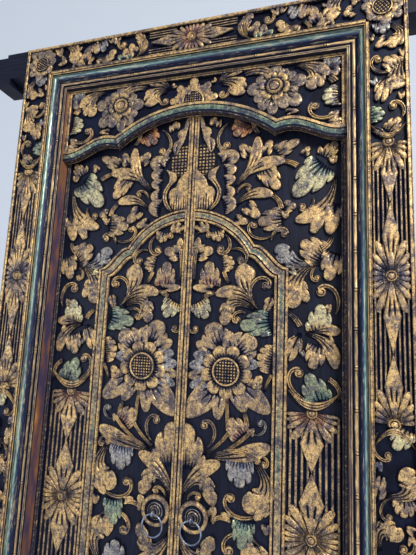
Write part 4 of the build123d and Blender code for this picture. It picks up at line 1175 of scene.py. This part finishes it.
def jambCarving():
    # leaf stretches, turned over on themselves, between lozenge stretches with reeds behind
    ground, plan = depths["border"], jambPlan
    width, length = lozengeSize["width"], lozengeSize["length"]
    x, (half, rise, thick) = plan["middle"], plan["crescent"]
    forms = leafForms(jambLeaves, ground) + scrolls(jambScrolls, ground)
    for top, bottom in plan["sections"]:
        middle = (top + bottom) / 2
        forms += wheelForms(x, middle, width, length, ground)
        for end, way in ((top, 1), (bottom, -1)):
            reach = way * (end - middle) - length - 3
            forms += wheelForms(x, end, width, reach, ground, half=-way, tints=("gold", "gold"))
            forms.append(crescentForm(x, end + way * 8, half, way * rise, thick, ground))
        forms.append(reedForm(*plan["reeds"], bottom + 4, top - 4, 8, ground))
    return trim(forms, 0, plan["reeds"][0] - 0.5, plan["reeds"][1] + 0.5)


headLeaves = dict(
    comb=[(322, 786, 300, 740, 52, 0, "grey"), (346, 778, 326, 736, 38, 0, "rose"), (478, 786, 466, 748, 30)],
    small=[(182, 712, 204, 752, 35, -4), (221, 700, 214, 712, 20, 0, "teal"), (262, 704, 300, 704, 26),
           (370, 716, 358, 768, 40, 0, "rose"), (470, 734, 440, 722, 38), (404, 700, 412, 718, 22, 0, "sand"),
           (250, 786, 262, 758, 26, 0, "sand"), (392, 776, 404, 752, 26)],
    bud=[(208, 700, 196, 718, 20, 0, "green"), (234, 700, 246, 718, 20, 0, "green"), (398, 720, 370, 700, 24),
         (310, 700, 324, 714, 20, 0, "sand"), (282, 784, 270, 764, 18)],
    oval=[(221, 706, 221, 740, 26)],
    plume=[(174, 704, 186, 784, 33, 14), (330, 728, 262, 742, 31, 26), (446, 786, 414, 714, 50, -18)],
    stem=[(334, 726, 352, 700, 12, 4)],
)
headScrolls = [(230, 752, 34, 75, -200, 11), (384, 716, 40, 205, 160, 10)]
cornerFans = [
    (545, 750, 590, 782, 40), (530, 748, 512, 786, 44), (556, 738, 594, 730, 40), (520, 732, 486, 742, 40),
    (528, 716, 500, 700, 42), (544, 712, 548, 672, 44), (558, 720, 586, 694, 40), (540, 756, 552, 788, 34),
    (518, 744, 492, 768, 34),
]
cornerFlower = dict(centre=(538, 730), root=20, whorl=42, petals=8, heart=26.0)
# The middle of the head board: a level lozenge between crescents, with reeds above and below
headPlan = dict(middle=739, width=39, length=132, crescent=(144, 41, 38, 12), reeds=(50, 141),
                reedLevels=((697, 722), (756, 781)), topClear=0.5)


def headCarving():
    # leaves, scrolls and a corner flower on each side of the middle lozenge
    ground, plan, corner = depths["border"], headPlan, cornerFlower
    x, z = corner["centre"]
    forms = leafForms(headLeaves, ground) + scrolls(headScrolls, ground)
    forms += leafForms(dict(sepal=cornerFans), ground, 0.86, "shaded")
    forms.append(whorlForm(x, z, corner["root"], corner["whorl"], corner["petals"], ground, 0.1,
                           "gold", 0.96, 3))
    forms.append(latticeForm(x, z, corner["heart"], ground, 7.4, 0.6))
    place, *shape = plan["crescent"]
    forms.append(crescentForm(place, plan["middle"], *shape, ground, upright=False))
    forms += [reedForm(*plan["reeds"], *levels, 3, ground, upright=False) for levels in plan["reedLevels"]]
    middle = wheelForms(0, plan["middle"], plan["width"], plan["length"], ground, upright=False,
                        tints=("rose", "gold"))
    highest = borderPlan["top"] - plan["topClear"] + flowerLine
    return trim(forms + flipped(forms, 0) + middle, 2, None, highest)


print("carving the border")
makePiece("headBoardGround", headBoardForms(), gilded, "frame", "head_board")
makePiece("headBoardCarving", headCarving(), gilded, "frame", "head_board")
jambGround, jambRelief = jambBoardForms(), jambCarving()
for side in ("left", "right"):
    makePiece(side + "JambGround", onSide(side, jambGround), gilded, "frame", side + "_jamb_board")
    makePiece(side + "JambCarving", onSide(side, jambRelief), gilded, "frame", side + "_jamb_board")


# The painted moulding round the doorway: distance in from the border, depth, gilding and paint
mouldingPlan = dict(edge=496.0, top=687.0, sill=-1589.0, width=46.0, pitch=98.0, floor=29.6,
                    bead=(23.6, 34.0))
mouldingSection = banded(
    ("navy", (0.0, 34.0, 0.0), (0.0, 4.6, 0.2)), ("gold", (0.6, 4.0, 1.0), (2.4, 4.6, 1.0)),
    ("navy", (3.0, 6.4, 0.0), (3.6, 8.0, 0.0)), ("verdigris", (4.0, 9.2, 0.85), (6.6, 13.0, 0.85)),
    # the pale band in the middle of the cove is a painted highlight
    ("mist", (8.2, 15.2, 1.0), (9.8, 16.0, 1.0)), ("teal", (11.6, 16.8, 0.75)),
    ("deep", (14.0, 17.4, 0.85), (14.6, 17.6, 0.9), (15.6, 18.4, 0.9), (16.0, 19.6, 0.8), (16.2, 28.0, 0.7)),
    ("navy", (23.0, 30.0, 0.0)), ("brown", (24.2, 27.6, 0.4)), ("umber", (25.2, 26.0, 0.9)),
    ("gold", (27.2, 25.1, 1.0), (29.4, 25.0, 1.0)), ("umber", (31.6, 25.6, 0.9)),
    ("brown", (32.8, 26.6, 0.6)), ("navy", (34.0, 28.4, 0.0), (34.4, 31.0, 0.0), (37.6, 31.0, 0.0)),
    ("umber", (38.0, 29.0, 0.4), (38.8, 28.1, 0.85), (41.2, 28.1, 0.85)),
    ("navy", (41.8, 29.4, 0.0), (42.8, 29.4, 0.0)), ("umber", (43.4, 28.2, 0.8), (45.2, 28.2, 0.75)),
    ("brown", (46.0, 29.0, 0.5)), ("navy", (46.0, 34.0, 0.0)),
)


def beadStations(low, high):
    # places along a run, close together round every reel, and how far each is cut down
    pitch = mouldingPlan["pitch"]
    count = int((high - low) // pitch)
    centres = (low + high) / 2 + (np.arange(count) - (count - 1) / 2) * pitch
    near = np.array([1.7, 2.5, 4.0, 5.6, 6.4, 9.0])
    near = np.concatenate([-near[::-1], [0.0], near])
    places = np.concatenate([(centres[:, None] + near[None, :]).ravel(), centres + pitch / 2])
    places = np.unique(np.round(places[(places > low + 2) & (places < high - 2)], 3))
    gap = np.abs(places[:, None] - centres[None, :]).min(axis=1)
    return places, np.maximum(bell(gap - 4.0, 1.3, 4), 0.35 * bell(gap - 9.0, 3.0))


def mouldingRun(low, high, mitres):
    # across is distance in from the border; the ends follow the mitre where there is one. Between the beads
    # the section sinks towards a floor and loses its gilding: navy ground paint, and painted shade in the
    # gaps
    plan = mouldingPlan
    first, last = (plan["width"] + 1 if mitre else 1 for mitre in mitres)
    places, cuts = beadStations(low + first, high - last)
    across, depth = (np.array([row[i] for row in mouldingSection])[None, :] for i in (0, 1))
    giltAndPaintedShade, colour = rowPaint(mouldingSection)
    bead = (across > plan["bead"][0]) & (across < plan["bead"][1])
    sunk = np.concatenate([[0], cuts, [0]])[:, None] * bead
    ends = low + across * mitres[0], high - across * mitres[1]
    along = np.concatenate([ends[0], places[:, None] + 0 * across, ends[1]])
    depth = depth + sunk * np.maximum(plan["floor"] - depth, 0)
    return along, across, depth, giltAndPaintedShade * (1 - 0.95 * np.clip(sunk * 1.3, 0, 1)), colour


def mouldings():
    # the right-hand run, cut square on the sill and mitred at the top, and the run over the doorway
    edge, top = mouldingPlan["edge"], mouldingPlan["top"]
    along, across, depth, giltAndPaintedShade, colour = mouldingRun(mouldingPlan["sill"], top, (False, True))
    side = [form(onDoor(edge - across, depth, along), giltAndPaintedShade, colour, wrap=True)]
    along, across, depth, giltAndPaintedShade, colour = mouldingRun(-edge, edge, (True, True))
    return side, [form(onDoor(along, depth, top - across), giltAndPaintedShade, colour, wrap=True)]


print("running the mouldings")
sideMoulding, topMoulding = mouldings()
runs = dict(left=(flipped(sideMoulding, 0), 2), right=(sideMoulding, 2), head=(topMoulding, 0))
for name, (forms, along) in runs.items():
    makePiece(name + "MouldingRun", forms, gildedRun[along], "frame", name + "_moulding",
              30)


# Turned rosettes behind the rings: share of the radius, height, gilding and paint
rosettePlan = dict(radius=41.0, thick=14.0, bore=3.15, centre=(55.0, -649.0), seat=74.0)
rosetteTurning = banded(
    ("navy", (1.0, 0.0, 0.2)),
    ("gold", (1.0, 0.4, 0.6), (0.985, 0.62, 1.0), (0.94, 0.8, 1.0), (0.89, 0.87, 1.0), (0.8, 0.84, 1.0),
     (0.76, 0.7, 0.7)), ("navy", (0.73, 0.56, 0.0), (0.7, 0.47, 0.0), (0.62, 0.42, 0.0), (0.56, 0.44, 0.2)),
    ("grey", (0.54, 0.6, 0.5), (0.51, 0.66, 0.7), (0.48, 0.6, 0.3)),
    ("navy", (0.46, 0.44, 0.0), (0.42, 0.44, 0.0)), ("grey", (0.39, 0.7, 0.5)), ("sand", (0.35, 0.78, 0.6)),
    ("navy", (0.31, 0.74, 0.2)), ("grey", (0.28, 0.92, 0.3), (0.22, 1.0, 0.4)), ("navy", (0.12, 1.0, 0.2)),
)


def rosetteForm():
    # the turning is spun about the rivet's line and bored for its shank
    plan = rosettePlan
    bore = plan["bore"] / plan["radius"]
    rows = rosetteTurning + [(bore, 0.98, 0.0, "navy"), (bore, 0.0, 0.0, "navy"), (1.00, 0.00, 0.0, "navy")]
    share, out = (np.array([row[i] for row in rows])[:, None] for i in (0, 1))
    giltAndPaintedShade, colour = rowPaint(rows)
    x, z = spun(*plan["centre"], share * plan["radius"], fullTurn(64))
    points = onDoor(x, plan["seat"] - out * plan["thick"], z)
    return [form(points, giltAndPaintedShade.T, colour.swapaxes(0, 1), wrap=True, closed=False)]


for side in ("left", "right"):
    makePiece(side + "TurnedRosette", onSide(side, rosetteForm()), gilded, side + "_door", side + "_rosette",
              50)


# The CAD nodes that stay, with the finish of each
finishes = [
    ("head_beam sill_beam left_upper_ledge left_lower_ledge right_upper_ledge right_lower_ledge",
     timberOf["darkTimber", 0]),
    ("left_post right_post", timberMaterial("darkTimber", 2, True)),
    ("left_top_pivot right_top_pivot left_bottom_pivot right_bottom_pivot", timberOf["bareTimber", 2]),
    ("bolt inner_staple outer_staple bolt_keeper", timberOf["bareTimber", 0]),
    ("left_eye right_eye left_washer right_washer left_ring right_ring", iron),
]
for names, material in finishes:
    for name in names.split():
        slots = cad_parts[name].data.materials
        slots.clear()
        slots.append(material)
print("finishes given")


# Floor, backdrop, light and camera
stagePlan = dict(size=9.0, colour=paint(226, 228, 232), pale=paint(214, 226, 244), share=0.6, rough=0.9,
                 front=6.0, rows=40, flat=0.4, bent=0.3, corner=1.2, back=2.0, reach=20.0, drop=0.001)


def stageMaterial():
    # pale to the camera and in what metal mirrors or glass lets through, plain plaster to every other ray
    material, tree, shader, _ = startMaterial("palePlaster")
    shader.inputs["Base Color"].default_value = (*stagePlan["colour"], 1.0)
    shader.inputs["Roughness"].default_value = stagePlan["rough"]
    rays = tree.nodes.new("ShaderNodeLightPath").outputs
    pale = tree.nodes.new("ShaderNodeEmission")
    pale.inputs["Color"].default_value = (*stagePlan["pale"], 1.0)
    blend = tree.nodes.new("ShaderNodeMixShader")
    seen = mathNode(tree, "MAXIMUM", rays["Is Camera Ray"], rays["Is Glossy Ray"])
    seen = mathNode(tree, "MAXIMUM", seen, rays["Is Transmission Ray"])
    tree.links.new(mathNode(tree, "MULTIPLY", seen, stagePlan["share"]), blend.inputs["Fac"])
    tree.links.new(shader.outputs["BSDF"], blend.inputs[1])
    tree.links.new(pale.outputs["Emission"], blend.inputs[2])
    tree.links.new(blend.outputs["Shader"], tree.nodes["Material Output"].inputs["Surface"])
    return material


def stage():
    # a floor that bends up into the backdrop, as one swept sheet: flat, a quarter circle, then upright
    plan = stagePlan
    flat, bent, corner, reach = (plan[name] for name in "flat bent corner reach".split())
    t = down(0, 1, plan["rows"])
    bend = np.clip((t - flat) / bent, 0, 1) * pi / 2
    y = np.where(t < flat, -plan["front"] + t * reach, plan["back"] + corner * np.sin(bend))
    z = np.where(t < flat, 0, corner * (1 - np.cos(bend))) + np.clip(t - flat - bent, 0, 1) * reach
    x = np.array([-plan["size"], plan["size"]])
    points = np.stack(np.broadcast_arrays(x, y, z - plan["drop"]), axis=-1)
    index = np.arange(2 * plan["rows"]).reshape(-1, 2)
    faces = np.stack([index[:-1, 0], index[:-1, 1], index[1:, 1], index[1:, 0]], axis=-1)
    mesh = bpy.data.meshes.new("studioSheet")
    mesh.from_pydata(points.reshape(-1, 3).tolist(), [], faces.tolist())
    mesh.polygons.foreach_set("use_smooth", np.ones(len(faces), dtype=bool))
    mesh.materials.append(stageMaterial())
    sheet = bpy.data.objects.new("studioSheet", mesh)
    bpy.context.scene.collection.objects.link(sheet)


lamps = dict(
    keyLamp=dict(place=(2.6, -3.4, 4.2), aim=(0, 0, 1.5), size=1.5, power=286.0, colour=(1.0, 0.97, 0.92)),
    fillLamp=dict(place=(-3.2, -3.0, 1.8), aim=(0, 0, 1.4), size=2.2, power=54.0, colour=(0.78, 0.88, 1.0)),
    backLamp=dict(place=(-1.5, 3.0, 3.6), aim=(0, 0, 1.3), size=2.4, power=70.0, colour=(1.0, 1.0, 1.0)),
)
worldPlan = dict(colour=(0.82, 0.86, 0.92, 1.0), strength=0.38)


def light():
    # each lamp looks from its place to its aim, and the world adds an even pale light
    for name, lamp in lamps.items():
        data = bpy.data.lights.new(name, "AREA")
        data.size, data.energy, data.color = lamp["size"], lamp["power"], lamp["colour"]
        thing = bpy.data.objects.new(name, data)
        bpy.context.scene.collection.objects.link(thing)
        thing.location = lamp["place"]
        gaze = Vector(lamp["aim"]) - Vector(lamp["place"])
        thing.rotation_euler = gaze.to_track_quat("-Z", "Y").to_euler()
    world = bpy.data.worlds.new("evenLight")
    bpy.context.scene.world = world
    world.use_nodes = True
    world.node_tree.nodes["Background"].inputs["Color"].default_value = worldPlan["colour"]
    world.node_tree.nodes["Background"].inputs["Strength"].default_value = worldPlan["strength"]


cameraPlan = dict(place=(0.3844, -1.0964, 1.5534), turn=(97.960, -2.479, 15.869), lens=25.55, sensor=36.0,
                  clip=(0.02, 60.0))


def camera():
    # the photograph's viewing angle
    data = bpy.data.cameras.new("frontCamera")
    data.lens, data.sensor_width = cameraPlan["lens"], cameraPlan["sensor"]
    data.clip_start, data.clip_end = cameraPlan["clip"]
    view = bpy.data.objects.new("frontCamera", data)
    view.location = cameraPlan["place"]
    view.rotation_euler = [math.radians(a) for a in cameraPlan["turn"]]
    bpy.context.scene.collection.objects.link(view)
    bpy.context.scene.camera = view


stage()
light()
camera()
bpy.context.scene.view_settings.view_transform = "Standard"
print("stage, light and camera set")
